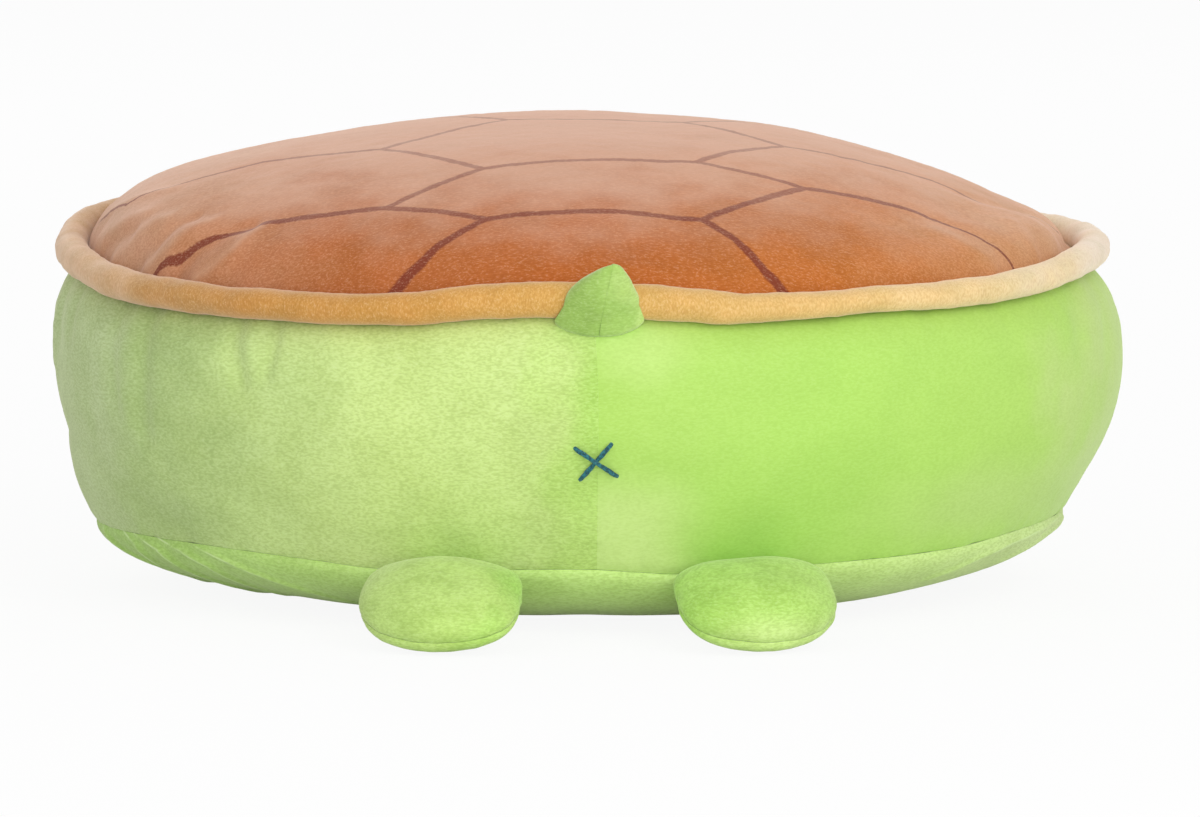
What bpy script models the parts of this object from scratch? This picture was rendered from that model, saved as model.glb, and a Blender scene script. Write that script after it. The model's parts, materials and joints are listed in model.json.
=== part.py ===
"""A plush turtle floor cushion: a padded shell with a stuffed rim, a side band in two panels,
a base, a head, a tail and four feet, each sewn from plush and filled with fibre.

Metres, +Z up. The face looks along -Y and the tail along +Y. The origin is the centre of the
flat face that the base rests on."""

import math

import bmesh
import bpy
from mathutils import Matrix, Vector

# Cloth and seams
CLOTH = 0.0025  # plush with its pile, and the seam allowance behind it
GAP = 0.0003  # between pieces that touch
MERGE_DISTANCE = 0.000002

# Body
BODY_WIDTH = 0.460  # across the fullest part of the side band
BODY_DEPTH = 0.450  # the same from front to back, without the head and the feet
CREST_HEIGHT = 0.202

# Base panel
BASE_FLAT_WIDTH = 0.200
BASE_SEAM_HEIGHT = 0.029
BASE_SEAM_TUCK = 0.023  # how far the seam lies inside the fullest part of the band

# Side band
BAND_FULL_HEIGHT = 0.100  # where the band is fullest
RIM_SEAM_HEIGHT = 0.1405
RIM_SEAM_TUCK = 0.0165
SHOULDER_POWER = 3.2
BAND_LOWER_SHARES = (0, 0.22, 0.47, 0.72)  # of the rise from the base seam to the fullest part
BAND_UPPER_SHARES = (0, 0.35, 0.68, 0.87, 1)  # of the rise from there to the seam under the rim

# Shell
SHELL_POWER = 2.3

# Rim, a stuffed tube sewn over the seam of shell and band
RIM_DIAMETER = 0.0142
RIM_CLOTH = 0.0015
RIM_RISE = 0.0035  # its centre above the seam
RIM_SEAM_OPENING = math.radians(50)
RIM_SEAM_DIRECTION = math.radians(205)

# Head
HEAD_WIDTH = 0.176
HEAD_REACH = 0.075  # from the band to the nose
HEAD_ROOT = 0.025  # how deep its fullest part lies inside the line of the band
HEAD_SEAM_HEIGHT = 0.072
HEAD_CROWN_RISE = 0.050  # from the seam to the top
HEAD_CHIN_DROP = 0.040  # from the seam to the chin
HEAD_POWER = 2.4

# Face, embroidered
EYE_SPACING = 0.084
EYE_RISE = 0.026  # above the head's seam
EYE_WIDTH = 0.024
EYE_SAG = 0.007
MOUTH_RISE = 0.011
MOUTH_WIDTH = 0.034
MOUTH_SAG = 0.006
FACE_THREAD_DIAMETER = 0.0024
EMBROIDERY_POINTS = 11

# Feet
FOOT_LENGTH = 0.072
FOOT_WIDTH = 0.070
FOOT_TOP_RISE = 0.018  # from its seam to its top
FOOT_SOLE_DROP = 0.010  # from its seam to its sole
FOOT_ROOT_RADIUS = 0.003  # of the rounded edge that turns in the seam
FOOT_ROOT_CLEARANCE = 0.0005  # from that edge to the seam
FOOT_FLOOR_CLEARANCE = 0.0005
FOOT_ROOT_THICKNESS_SHARE = 0.25
FOOT_SIDE_POWER = 4
FOOT_TIP_POWER = 2.5
FOOT_SWELL_POWER = 3.5
FOOT_TURN_IN = math.radians(8)  # towards the body's long axis
REAR_FOOT_ANGLE = math.radians(17)  # round the body, from its long axis
FRONT_FOOT_ANGLE = math.radians(40)

# Tail
TAIL_LENGTH = 0.050
TAIL_ROOT = 0.012  # the part of its length inside the line of the band
TAIL_WIDTH = 0.050
TAIL_THICKNESS = 0.026
TAIL_HINGE_DROP = 0.0115  # from its middle line to the lower edge of its seam
TAIL_HINGE_BELOW_RIM_SEAM = 0.013
TAIL_TILT = math.radians(42)
TAIL_TAPER_POWER = 0.6
TAIL_ROOT_POWER = 12

# Cross stitch on the back of the band
CROSS_HEIGHT = 0.077
CROSS_OFFSET = 0.001
THREAD_DIAMETER = 0.0022
UNDER_STROKE_RUN = 0.0140
UNDER_STROKE_RISE = 0.0165
OVER_STROKE_RUN = 0.0190
OVER_STROKE_RISE = 0.0130
OVER_STROKE_LIFT_SHARES = (0, 0, 0.35, 1, 1, 0.35, 0, 0)

# How finely the round forms are turned
BODY_SEGMENTS = 48
BASE_STEPS = 5
SHELL_STEPS = 7
RIM_STEPS = 8
HEAD_SEGMENTS = 28
HEAD_RINGS = 14
LIMB_SEGMENTS = 16
LIMB_RINGS = 8
SHARP_ANGLE = math.radians(40)

# Sizes that follow
BODY_RADIUS = BODY_WIDTH / 2
DEPTH_SHARE = BODY_DEPTH / BODY_WIDTH
BASE_FLAT_RADIUS = BASE_FLAT_WIDTH / 2
BASE_SEAM_RADIUS = BODY_RADIUS - BASE_SEAM_TUCK
RIM_SEAM_RADIUS = BODY_RADIUS - RIM_SEAM_TUCK
RIM_RADIUS = RIM_DIAMETER / 2
RIM_CENTRE = Vector((RIM_SEAM_RADIUS + RIM_RADIUS + GAP, RIM_SEAM_HEIGHT + RIM_RISE))


def plush(name, colour, roughness):
    """A matt cloth, thread or fibre of one colour."""
    material = bpy.data.materials.new(name)
    material.use_nodes = True
    shader = material.node_tree.nodes["Principled BSDF"]
    shader.inputs["Base Color"].default_value = (*colour, 1)
    shader.inputs["Roughness"].default_value = roughness
    shader.inputs["Metallic"].default_value = 0
    material.diffuse_color = (*colour, 1)
    return material


def add_piece(name, data, material, parent=None):
    """One named piece, shaded smooth."""
    piece = bpy.data.objects.new(name, data)
    data.materials.append(material)
    piece.parent = parent
    bpy.context.collection.objects.link(piece)
    return piece


def add_mesh_piece(name, mesh, material, parent=None):
    """A piece from a bmesh, which it uses up."""
    bmesh.ops.recalc_face_normals(mesh, faces=mesh.faces)
    data = bpy.data.meshes.new(name)
    mesh.to_mesh(data)
    mesh.free()
    data.shade_smooth()
    data.set_sharp_from_angle(angle=SHARP_ANGLE)
    return add_piece(name, data, material, parent)


def add_hinge(name, location, turn, tilt):
    """An empty on the axis that a foot or the tail moves about: X is the axis, Y points out."""
    hinge = bpy.data.objects.new(name, None)
    hinge.location = location
    hinge.rotation_euler = (tilt, 0, turn)
    bpy.context.collection.objects.link(hinge)
    return hinge


# Outlines of the body: points hold a radius and a height


def base_outline():
    """From the middle of the flat face out and up to the base seam."""
    reach = BASE_SEAM_RADIUS - BASE_FLAT_RADIUS
    points = [Vector((0, 0))]
    for step in range(BASE_STEPS + 1):
        turn = math.pi / 2 * step / BASE_STEPS
        height = BASE_SEAM_HEIGHT * (1 - math.cos(turn))
        points.append(Vector((BASE_FLAT_RADIUS + reach * math.sin(turn), height)))
    return points


def band_radius(height):
    """Half the width of the side band at a height."""
    if height < BAND_FULL_HEIGHT:
        rise_share = (height - BASE_SEAM_HEIGHT) / (BAND_FULL_HEIGHT - BASE_SEAM_HEIGHT)
        return BODY_RADIUS - BASE_SEAM_TUCK * (1 - math.sin(math.pi / 2 * rise_share))
    rise_share = (height - BAND_FULL_HEIGHT) / (RIM_SEAM_HEIGHT - BAND_FULL_HEIGHT)
    return BODY_RADIUS - RIM_SEAM_TUCK * rise_share**SHOULDER_POWER


def band_outline():
    """From the base seam up to the seam under the rim."""
    lower_rise = BAND_FULL_HEIGHT - BASE_SEAM_HEIGHT
    upper_rise = RIM_SEAM_HEIGHT - BAND_FULL_HEIGHT
    heights = [BASE_SEAM_HEIGHT + lower_rise * share for share in BAND_LOWER_SHARES]
    heights += [BAND_FULL_HEIGHT + upper_rise * share for share in BAND_UPPER_SHARES]
    return [Vector((band_radius(height), height)) for height in heights]


def shell_outline():
    """From the seam under the rim up to the crest."""
    points = []
    for step in range(SHELL_STEPS + 1):
        turn = math.pi / 2 * step / SHELL_STEPS
        radius = RIM_SEAM_RADIUS * abs(math.cos(turn)) ** (2 / SHELL_POWER)
        height = RIM_SEAM_HEIGHT + (CREST_HEIGHT - RIM_SEAM_HEIGHT) * math.sin(turn)
        points.append(Vector((radius, height)))
    return points


def rim_outline(radius, start, end, steps):
    """An arc round the rim's centre."""
    turns = [start + (end - start) * step / steps for step in range(steps + 1)]
    return [RIM_CENTRE + radius * Vector((math.cos(turn), math.sin(turn))) for turn in turns]


def body_outline():
    """The whole body without its rim, from the middle of the base to the crest."""
    return base_outline() + band_outline()[1:] + shell_outline()[1:]


def body_and_rim_outline():
    """The whole body with its rim."""
    band = [point for point in band_outline()[1:] if point.y < RIM_CENTRE.y - RIM_DIAMETER]
    rim = rim_outline(RIM_RADIUS, -math.pi / 2, math.pi / 2, RIM_STEPS)
    shell = [point for point in shell_outline() if point.y > RIM_CENTRE.y + RIM_RADIUS]
    return base_outline() + band + rim + shell


def moved_out(points, distance):
    """The outline at an even distance outside another one, or inside it if less than zero."""
    moved = []
    for index, point in enumerate(points):
        before = points[max(index - 1, 0)]
        after = points[min(index + 1, len(points) - 1)]
        normals = [
            Vector((end.y - start.y, start.x - end.x)).normalized()
            for start, end in ((before, point), (point, after))
            if end != start
        ]
        middle = sum(normals, Vector((0, 0))).normalized()
        moved.append(point + middle * (distance / middle.dot(normals[0])))
    if points[0].x < MERGE_DISTANCE:
        moved[0].x = 0
    if points[-1].x < MERGE_DISTANCE:
        moved[-1].x = 0
    return moved


def panel_outline(points, thickness):
    """The cross section of a cloth panel: its outer line, then its inner line back."""
    return points + moved_out(points, -thickness)[::-1]


# Meshes


def turned(points, closed, start=0, end=2 * math.pi, segments=BODY_SEGMENTS):
    """An outline turned about Z, its ends filled, then pressed to the body's oval."""
    mesh = bmesh.new()
    line = [mesh.verts.new((point.x, 0, point.y)) for point in points]
    edges = [mesh.edges.new(pair) for pair in zip(line, line[1:])]
    if closed:
        edges.append(mesh.edges.new((line[-1], line[0])))
    origin = Vector((0, 0, 0))
    bmesh.ops.rotate(mesh, verts=line, cent=origin, matrix=Matrix.Rotation(start, 3, "Z"))
    bmesh.ops.spin(mesh, geom=line + edges, cent=origin, axis=(0, 0, 1), angle=end - start, steps=segments)
    bmesh.ops.remove_doubles(mesh, verts=mesh.verts, dist=MERGE_DISTANCE)
    open_edges = [edge for edge in mesh.edges if edge.is_boundary]
    bmesh.ops.holes_fill(mesh, edges=open_edges, sides=0)
    bmesh.ops.scale(mesh, verts=mesh.verts, vec=(1, DEPTH_SHARE, 1))
    return mesh


def add_ball(mesh, place, inset, segments, rings):
    """A unit ball with its poles on Y, each point moved to its place on a stuffed form."""
    ball = bmesh.ops.create_uvsphere(
        mesh,
        u_segments=segments,
        v_segments=rings,
        radius=1,
        matrix=Matrix.Rotation(math.pi / 2, 4, "X"),
    )
    return {vert: place(vert.co.copy(), inset) for vert in ball["verts"]}


def filled_form(place, segments, rings):
    """The fibre inside a stuffed form."""
    mesh = bmesh.new()
    for vert, point in add_ball(mesh, place, CLOTH + GAP, segments, rings).items():
        vert.co = point
    return mesh


def half_cover(place, side, segments, rings):
    """One of the two panels that cover a stuffed form, on the side that a direction names."""
    mesh = bmesh.new()
    outside = add_ball(mesh, place, 0, segments, rings)
    inside = add_ball(mesh, place, CLOTH, segments, rings)
    by_direction = {tuple(round(part, 4) for part in vert.co): vert for vert in inside}
    twins = {vert: by_direction[tuple(round(part, 4) for part in vert.co)] for vert in outside}
    places = outside | inside
    far_side = [vert for vert in mesh.verts if vert.co.dot(side) < -MERGE_DISTANCE]
    bmesh.ops.delete(mesh, geom=far_side, context="VERTS")
    for edge in [edge for edge in mesh.edges if edge.is_boundary and edge.verts[0] in outside]:
        start, end = edge.verts
        mesh.faces.new((start, end, twins[end], twins[start]))
    for vert in mesh.verts:
        vert.co = places[vert] + side * (GAP / 2)
    return mesh


def cut_by(piece, cutter):
    """Cut a piece off where it meets another."""
    cut = piece.modifiers.new("cut", "BOOLEAN")
    cut.operation = "DIFFERENCE"
    cut.solver = "EXACT"
    cut.object = cutter


def add_thread(name, points, diameter, material):
    """A laid thread through its points."""
    curve = bpy.data.curves.new(name, "CURVE")
    curve.dimensions = "3D"
    curve.bevel_depth = diameter / 2
    curve.bevel_resolution = 1
    curve.use_fill_caps = True
    spline = curve.splines.new("POLY")
    spline.points.add(len(points) - 1)
    for knot, point in zip(spline.points, points):
        knot.co = (*point, 1)
    return add_piece(name, curve, material)


# Body pieces


def add_body_cutter():
    """A guide the size of the body and its rim with the gap round them."""
    outline = moved_out(body_and_rim_outline(), GAP)
    cutter = add_mesh_piece("body_guide", turned(outline, False), plush("guide", (0.5, 0.5, 0.5), 1))
    cutter.hide_render = True
    cutter.display_type = "WIRE"
    return cutter


def add_shell(cloth):
    """The printed brown cover of the shell."""
    outline = [point + Vector((0, GAP)) for point in shell_outline()]
    section = moved_out(outline, -CLOTH)[::-1] + outline
    return add_mesh_piece("shell_cover", turned(section, False), cloth)


def add_rim(cloth, fibre):
    """The rim's cover, open along its seam, and its filling."""
    start = RIM_SEAM_DIRECTION + RIM_SEAM_OPENING / 2
    end = start + 2 * math.pi - RIM_SEAM_OPENING
    bore_radius = RIM_RADIUS - RIM_CLOTH
    section = rim_outline(RIM_RADIUS, start, end, RIM_STEPS)
    section += rim_outline(bore_radius, end, start, RIM_STEPS)
    add_mesh_piece("rim_cover", turned(section, True), cloth)
    flat_share = math.cos((end - start) / RIM_STEPS / 2)
    filling = rim_outline(bore_radius * flat_share - GAP, start, start + 2 * math.pi, RIM_STEPS)
    add_mesh_piece("rim_stuffing", turned(filling[:-1], True), fibre)


def add_side_band(name, middle, cloth):
    """One of the two panels of the side band, from the front seam to the back seam."""
    seam_turn = GAP / BODY_WIDTH
    start = middle - math.pi / 2 + seam_turn
    end = middle + math.pi / 2 - seam_turn
    outline = panel_outline(band_outline(), CLOTH)
    add_mesh_piece(name, turned(outline, True, start, end, BODY_SEGMENTS // 2), cloth)


def add_base(cloth):
    """The base panel, flat where it rests."""
    outline = base_outline()
    outline[-1] = outline[-1] - Vector((0, GAP))
    return add_mesh_piece("base_panel", turned(panel_outline(outline, CLOTH), False), cloth)


def add_body_stuffing(fibre):
    """The fibre that fills the body."""
    outline = moved_out(body_outline(), -CLOTH - GAP)
    mesh = turned(outline, False, segments=BODY_SEGMENTS // 2)
    return add_mesh_piece("body_stuffing", mesh, fibre)


# Head and face


def head_place(direction, inset):
    """Where a point of the unit ball lies on the head."""
    rise = HEAD_CROWN_RISE if direction.z > 0 else HEAD_CHIN_DROP
    half_size = Vector((HEAD_WIDTH / 2, HEAD_REACH + HEAD_ROOT, rise))
    size = sum(abs(part) ** HEAD_POWER for part in direction) ** (-1 / HEAD_POWER)
    point = Vector([part * size * (half - inset) for part, half in zip(direction, half_size)])
    return point + Vector((0, HEAD_ROOT - BODY_DEPTH / 2, HEAD_SEAM_HEIGHT))


def on_face(across, rise, height):
    """A point above the cloth of the face, at a place across it and over the head's seam."""
    half_size = Vector((HEAD_WIDTH / 2, HEAD_REACH + HEAD_ROOT, HEAD_CROWN_RISE))
    across_share = across / half_size.x
    rise_share = rise / half_size.z
    left = 1 - abs(across_share) ** HEAD_POWER - abs(rise_share) ** HEAD_POWER
    shares = Vector((across_share, -(left ** (1 / HEAD_POWER)), rise_share))
    pairs = list(zip(shares, half_size))
    slope = [math.copysign(abs(part) ** (HEAD_POWER - 1), part) / half for part, half in pairs]
    point = Vector([part * half for part, half in pairs])
    point += Vector(slope).normalized() * height
    return point + Vector((0, HEAD_ROOT - BODY_DEPTH / 2, HEAD_SEAM_HEIGHT))


def face_arc(middle, rise, width, sag):
    """A hanging arc on the face, for a closed eye or a mouth."""
    height = FACE_THREAD_DIAMETER / 2 + GAP
    points = []
    for step in range(EMBROIDERY_POINTS):
        share = 2 * step / (EMBROIDERY_POINTS - 1) - 1
        points.append(on_face(middle + width / 2 * share, rise - sag * (1 - share**2), height))
    return points


def add_head(cloth, fibre, thread, cutter):
    """The head's two panels, its filling and its embroidered face."""
    up = Vector((0, 0, 1))
    for name, side in (("head_upper_panel", up), ("head_lower_panel", -up)):
        mesh = half_cover(head_place, side, HEAD_SEGMENTS, HEAD_RINGS)
        cut_by(add_mesh_piece(name, mesh, cloth), cutter)
    filling = filled_form(head_place, HEAD_SEGMENTS, HEAD_RINGS)
    cut_by(add_mesh_piece("head_stuffing", filling, fibre), cutter)
    for name, side in (("eye_left", 1), ("eye_right", -1)):
        arc = face_arc(side * EYE_SPACING / 2, EYE_RISE, EYE_WIDTH, EYE_SAG)
        add_thread(name, arc, FACE_THREAD_DIAMETER, thread)
    arc = face_arc(0, MOUTH_RISE, MOUTH_WIDTH, MOUTH_SAG)
    add_thread("mouth", arc, FACE_THREAD_DIAMETER, thread)


# Feet


def foot_height(along_share, fullest):
    """How far a foot's top or its sole is from its seam, at a share of the foot's length."""
    ends_share = (1 - abs(2 * along_share - 1) ** FOOT_SWELL_POWER) ** 0.5
    grow_share = math.sin(math.pi / 2 * min(1, 2 * along_share))
    root_share = FOOT_ROOT_THICKNESS_SHARE + (1 - FOOT_ROOT_THICKNESS_SHARE) * grow_share
    return fullest * ends_share * root_share


def foot_place(direction, inset, turn_in):
    """Where a point of the unit ball lies on a foot: X along its hinge, Y out, Z up."""
    along_share = (1 + direction.y) / 2
    side_power = FOOT_SIDE_POWER if along_share < 0.5 else FOOT_TIP_POWER
    ends_share = max(0, 1 - abs(2 * along_share - 1) ** side_power) ** 0.5
    fullest = FOOT_TOP_RISE if direction.z > 0 else FOOT_SOLE_DROP
    round_size = max(math.hypot(direction.x, direction.z), MERGE_DISTANCE)
    out = inset + (FOOT_LENGTH - 2 * inset) * along_share - FOOT_ROOT_RADIUS
    across = (FOOT_WIDTH / 2 - inset) * ends_share * direction.x / round_size
    rise = foot_height(along_share, fullest - inset) * direction.z / round_size
    return Vector((across + out * math.tan(turn_in), out, rise))


def foot_slope():
    """How far a foot slopes down for its sole to end just above the floor."""
    least = 0
    most = math.pi / 4
    for _ in range(40):
        slope = (least + most) / 2
        lowest = min(
            BASE_SEAM_HEIGHT
            - (FOOT_LENGTH * share - FOOT_ROOT_RADIUS) * math.sin(slope)
            - foot_height(share, FOOT_SOLE_DROP) * math.cos(slope)
            for share in [step / 50 for step in range(51)]
        )
        if lowest > FOOT_FLOOR_CLEARANCE + GAP / 2:
            least = slope
        else:
            most = slope
    return least


def add_foot(name, side, end, angle, cloth, fibre):
    """One foot on its hinge in the base seam: side is 1 on the left, end is 1 at the back."""
    radius = BASE_SEAM_RADIUS + FOOT_ROOT_RADIUS + FOOT_ROOT_CLEARANCE
    across = side * radius * math.sin(angle)
    along = end * radius * DEPTH_SHARE * math.cos(angle)
    outward = Vector((side * math.sin(angle), end * math.cos(angle) / DEPTH_SHARE))
    turn = math.atan2(-outward.x, outward.y)
    location = (across, along, BASE_SEAM_HEIGHT)
    hinge = add_hinge(name + "_hinge", location, turn, -foot_slope())

    def place(direction, inset):
        return foot_place(direction, inset, -side * end * FOOT_TURN_IN)

    up = Vector((0, 0, 1))
    for panel, direction in (("top", up), ("sole", -up)):
        mesh = half_cover(place, direction, LIMB_SEGMENTS, LIMB_RINGS)
        add_mesh_piece(f"{name}_{panel}", mesh, cloth, hinge)
    filling = filled_form(place, LIMB_SEGMENTS, LIMB_RINGS)
    add_mesh_piece(f"{name}_stuffing", filling, fibre, hinge)


def add_feet(cloth, fibre):
    """The four feet."""
    for end_name, end, angle in (("rear", 1, REAR_FOOT_ANGLE), ("front", -1, FRONT_FOOT_ANGLE)):
        for side_name, side in (("left", 1), ("right", -1)):
            add_foot(f"{end_name}_{side_name}_foot", side, end, angle, cloth, fibre)


# Tail


def tail_place(direction, inset):
    """Where a point of the unit ball lies on the tail: Y runs to its tip, over its hinge."""
    along_share = (1 + direction.y) / 2
    taper_share = max(0, 1 - along_share) ** TAIL_TAPER_POWER
    root_share = (1 - (1 - along_share) ** TAIL_ROOT_POWER) ** 0.5
    round_size = max(math.hypot(direction.x, direction.z), MERGE_DISTANCE)
    size_share = taper_share * root_share / round_size
    across = (TAIL_WIDTH / 2 - inset) * size_share * direction.x
    rise = (TAIL_THICKNESS / 2 - inset) * size_share * direction.z
    along = inset + (TAIL_LENGTH - 3 * inset) * along_share - TAIL_ROOT
    return Vector((across, along, TAIL_HINGE_DROP + rise))


def add_tail(cloth, fibre, cutter):
    """The tail's two panels and its filling, on a hinge along the lower edge of its seam."""
    height = RIM_SEAM_HEIGHT - TAIL_HINGE_BELOW_RIM_SEAM
    location = (0, (band_radius(height) + GAP) * DEPTH_SHARE, height)
    hinge = add_hinge("tail_hinge", location, 0, TAIL_TILT)
    left = Vector((1, 0, 0))
    for name, side in (("tail_left_panel", left), ("tail_right_panel", -left)):
        mesh = half_cover(tail_place, side, LIMB_SEGMENTS, LIMB_RINGS)
        cut_by(add_mesh_piece(name, mesh, cloth, hinge), cutter)
    filling = filled_form(tail_place, LIMB_SEGMENTS, LIMB_RINGS)
    cut_by(add_mesh_piece("tail_stuffing", filling, fibre, hinge), cutter)


# Cross stitch


def on_band(across, height, lift):
    """A point above the back of the side band."""
    radius = band_radius(height) + lift
    return Vector((across, DEPTH_SHARE * math.sqrt(radius**2 - across**2), height))


def add_cross_stitch(thread):
    """Two thick stitches, one laid over the other."""
    seat = THREAD_DIAMETER / 2 + GAP
    last = len(OVER_STROKE_LIFT_SHARES) - 1
    under = []
    over = []
    for step, lift_share in enumerate(OVER_STROKE_LIFT_SHARES):
        share = step / last - 0.5
        height = CROSS_HEIGHT + UNDER_STROKE_RISE * share
        under.append(on_band(CROSS_OFFSET - UNDER_STROKE_RUN * share, height, seat))
        height = CROSS_HEIGHT + OVER_STROKE_RISE * share
        lift = seat + (THREAD_DIAMETER + GAP) * lift_share
        over.append(on_band(CROSS_OFFSET + OVER_STROKE_RUN * share, height, lift))
    add_thread("cross_stitch_under", under, THREAD_DIAMETER, thread)
    add_thread("cross_stitch_over", over, THREAD_DIAMETER, thread)


def main():
    for piece in list(bpy.data.objects):
        bpy.data.objects.remove(piece, do_unlink=True)

    shell_plush = plush("shell_plush", (0.46, 0.17, 0.07), 0.9)
    rim_plush = plush("rim_plush", (0.75, 0.44, 0.17), 0.9)
    pale_green_plush = plush("pale_green_plush", (0.46, 0.65, 0.20), 0.9)
    green_plush = plush("green_plush", (0.37, 0.68, 0.13), 0.9)
    fibre = plush("fibre", (0.85, 0.85, 0.83), 1)
    teal_thread = plush("teal_thread", (0.01, 0.12, 0.15), 0.6)
    brown_thread = plush("brown_thread", (0.08, 0.03, 0.02), 0.6)

    cutter = add_body_cutter()
    add_shell(shell_plush)
    add_rim(rim_plush, fibre)
    add_side_band("side_band_left", 0, pale_green_plush)
    add_side_band("side_band_right", math.pi, green_plush)
    add_base(green_plush)
    add_body_stuffing(fibre)
    add_head(green_plush, fibre, brown_thread, cutter)
    add_feet(green_plush, fibre)
    add_tail(green_plush, fibre, cutter)
    add_cross_stitch(teal_thread)


main()
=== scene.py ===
"""The looks of a plush turtle floor cushion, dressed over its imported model.

Metres, +Z up. The face looks along -Y and the tail along +Y. An azimuth goes round the body
from the tail, and is above zero on the left side, which is +X."""

import json
import logging
import math
import random
from collections.abc import Callable, Mapping, Sequence
from dataclasses import dataclass
from enum import Enum
from functools import cache, partial

import bmesh
import bpy
from bpy.types import Material, Node, NodeSocket, NodeTree, Object
from mathutils import Euler, Matrix, Vector, noise

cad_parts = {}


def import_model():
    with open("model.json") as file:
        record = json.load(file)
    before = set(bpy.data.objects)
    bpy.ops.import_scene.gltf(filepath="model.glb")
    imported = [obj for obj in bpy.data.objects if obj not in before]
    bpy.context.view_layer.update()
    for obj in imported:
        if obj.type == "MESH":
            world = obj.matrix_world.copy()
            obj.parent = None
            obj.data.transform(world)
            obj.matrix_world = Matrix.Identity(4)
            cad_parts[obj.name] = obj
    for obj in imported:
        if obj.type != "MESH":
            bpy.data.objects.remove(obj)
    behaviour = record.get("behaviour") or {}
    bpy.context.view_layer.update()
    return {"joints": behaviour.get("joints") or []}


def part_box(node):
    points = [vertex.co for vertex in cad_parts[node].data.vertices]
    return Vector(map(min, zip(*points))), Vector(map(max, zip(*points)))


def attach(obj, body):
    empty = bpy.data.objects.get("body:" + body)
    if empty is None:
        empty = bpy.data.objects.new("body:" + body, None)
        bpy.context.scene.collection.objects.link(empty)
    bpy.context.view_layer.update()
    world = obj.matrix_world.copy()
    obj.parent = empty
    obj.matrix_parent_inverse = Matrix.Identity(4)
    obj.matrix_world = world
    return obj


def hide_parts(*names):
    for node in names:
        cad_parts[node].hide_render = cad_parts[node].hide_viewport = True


Point = tuple[float, float]
Triple = tuple[float, float, float]
Line = tuple[Point, ...]
Place = Callable[[float, float], Vector]

CLOTH = 0.0025  # the wall of a plush panel
THIN_CLOTH = 0.002  # the wall of the small panels
GAP = 0.0003  # between pieces that touch
MERGE_DISTANCE = 0.00002
SHARP_ANGLE = math.radians(50)
WHITE = (1, 1, 1, 1)
TO_MILLIMETRES = (1000, 1000, 0)  # flattens a place in metres

log = logging.getLogger("turtle")


class Side(Enum):
    """A side of the turtle, as it sees itself."""

    LEFT = 1
    RIGHT = -1


class End(Enum):
    """An end of the turtle."""

    REAR = 1
    FRONT = -1


def clamped(value: float) -> float:
    """A value kept from 0 to 1."""
    return min(1.0, max(0.0, value))


def near(distance: float, reach: float, power: float = 1) -> float:
    """How near a place is: 1 where the distance is 0, down to 0 at the reach."""
    return max(0.0, 1 - distance / reach) ** power


def rough(*place: float) -> float:
    """A smooth noise at a place, from about -1 to 1."""
    return noise.noise(Vector(place))


# Colours and materials


def tone(code: str) -> tuple[float, float, float, float]:
    """The linear colour of a hex code, with an opacity of 1."""
    shares = [int(code[start : start + 2], 16) / 255 for start in (1, 3, 5)]
    return (*(share / 12.92 if share <= 0.04045 else ((share + 0.055) / 1.055) ** 2.4 for share in shares), 1.0)


class Nodes:
    """A node tree, and short calls for the nodes in it."""

    def __init__(self, tree: NodeTree) -> None:
        """Take the tree."""
        self.tree = tree

    def add(self, kind: str, inputs: Mapping[str | int, object] | None = None, **settings: object) -> Node:
        """Add a node, set what it is told and feed its inputs.

        Args:
            kind: The node's type.
            inputs: A socket or a plain value for each input, by its name or number.
            settings: The node's properties.

        Returns:
            The new node.
        """
        node = self.tree.nodes.new(kind)
        for name, value in settings.items():
            setattr(node, name, value)
        self.feed(node, inputs or {})
        return node

    def feed(self, node: Node, inputs: Mapping[str | int, object]) -> None:
        """Link inputs of a node, or set their values.

        Args:
            node: The node.
            inputs: A socket or a plain value for each input, by its name or number.
        """
        for key, value in inputs.items():
            if isinstance(value, NodeSocket):
                self.tree.links.new(value, node.inputs[key])
            else:
                node.inputs[key].default_value = value

    def sum(self, kind: str, first: object, second: object, clamp: bool = False) -> NodeSocket:
        """Arithmetic on two sockets or numbers."""
        return self.add("ShaderNodeMath", {0: first, 1: second}, operation=kind, use_clamp=clamp).outputs[0]

    def vector(self, kind: str, first: object, second: object = (0, 0, 0)) -> NodeSocket:
        """Arithmetic on two vectors, or on a vector and its scale.

        Args:
            kind: The operation.
            first: A socket or a vector.
            second: A socket, a vector or a number.

        Returns:
            The result.
        """
        inputs = {0: first, "Scale" if kind == "SCALE" else 1: second}
        result = "Value" if kind in ("LENGTH", "DISTANCE", "DOT_PRODUCT") else "Vector"
        return self.add("ShaderNodeVectorMath", inputs, operation=kind).outputs[result]

    def ranged(
        self, value: object, start: float, end: float, low: float = 0.0, high: float = 1.0, kind: str = "SMOOTHSTEP"
    ) -> NodeSocket:
        """A value taken from the range start to end to the range low to high, smoothly or by another kind of step."""
        inputs = {"Value": value, "From Min": start, "From Max": end, "To Min": low, "To Max": high}
        return self.add("ShaderNodeMapRange", inputs, interpolation_type=kind).outputs["Result"]


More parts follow.
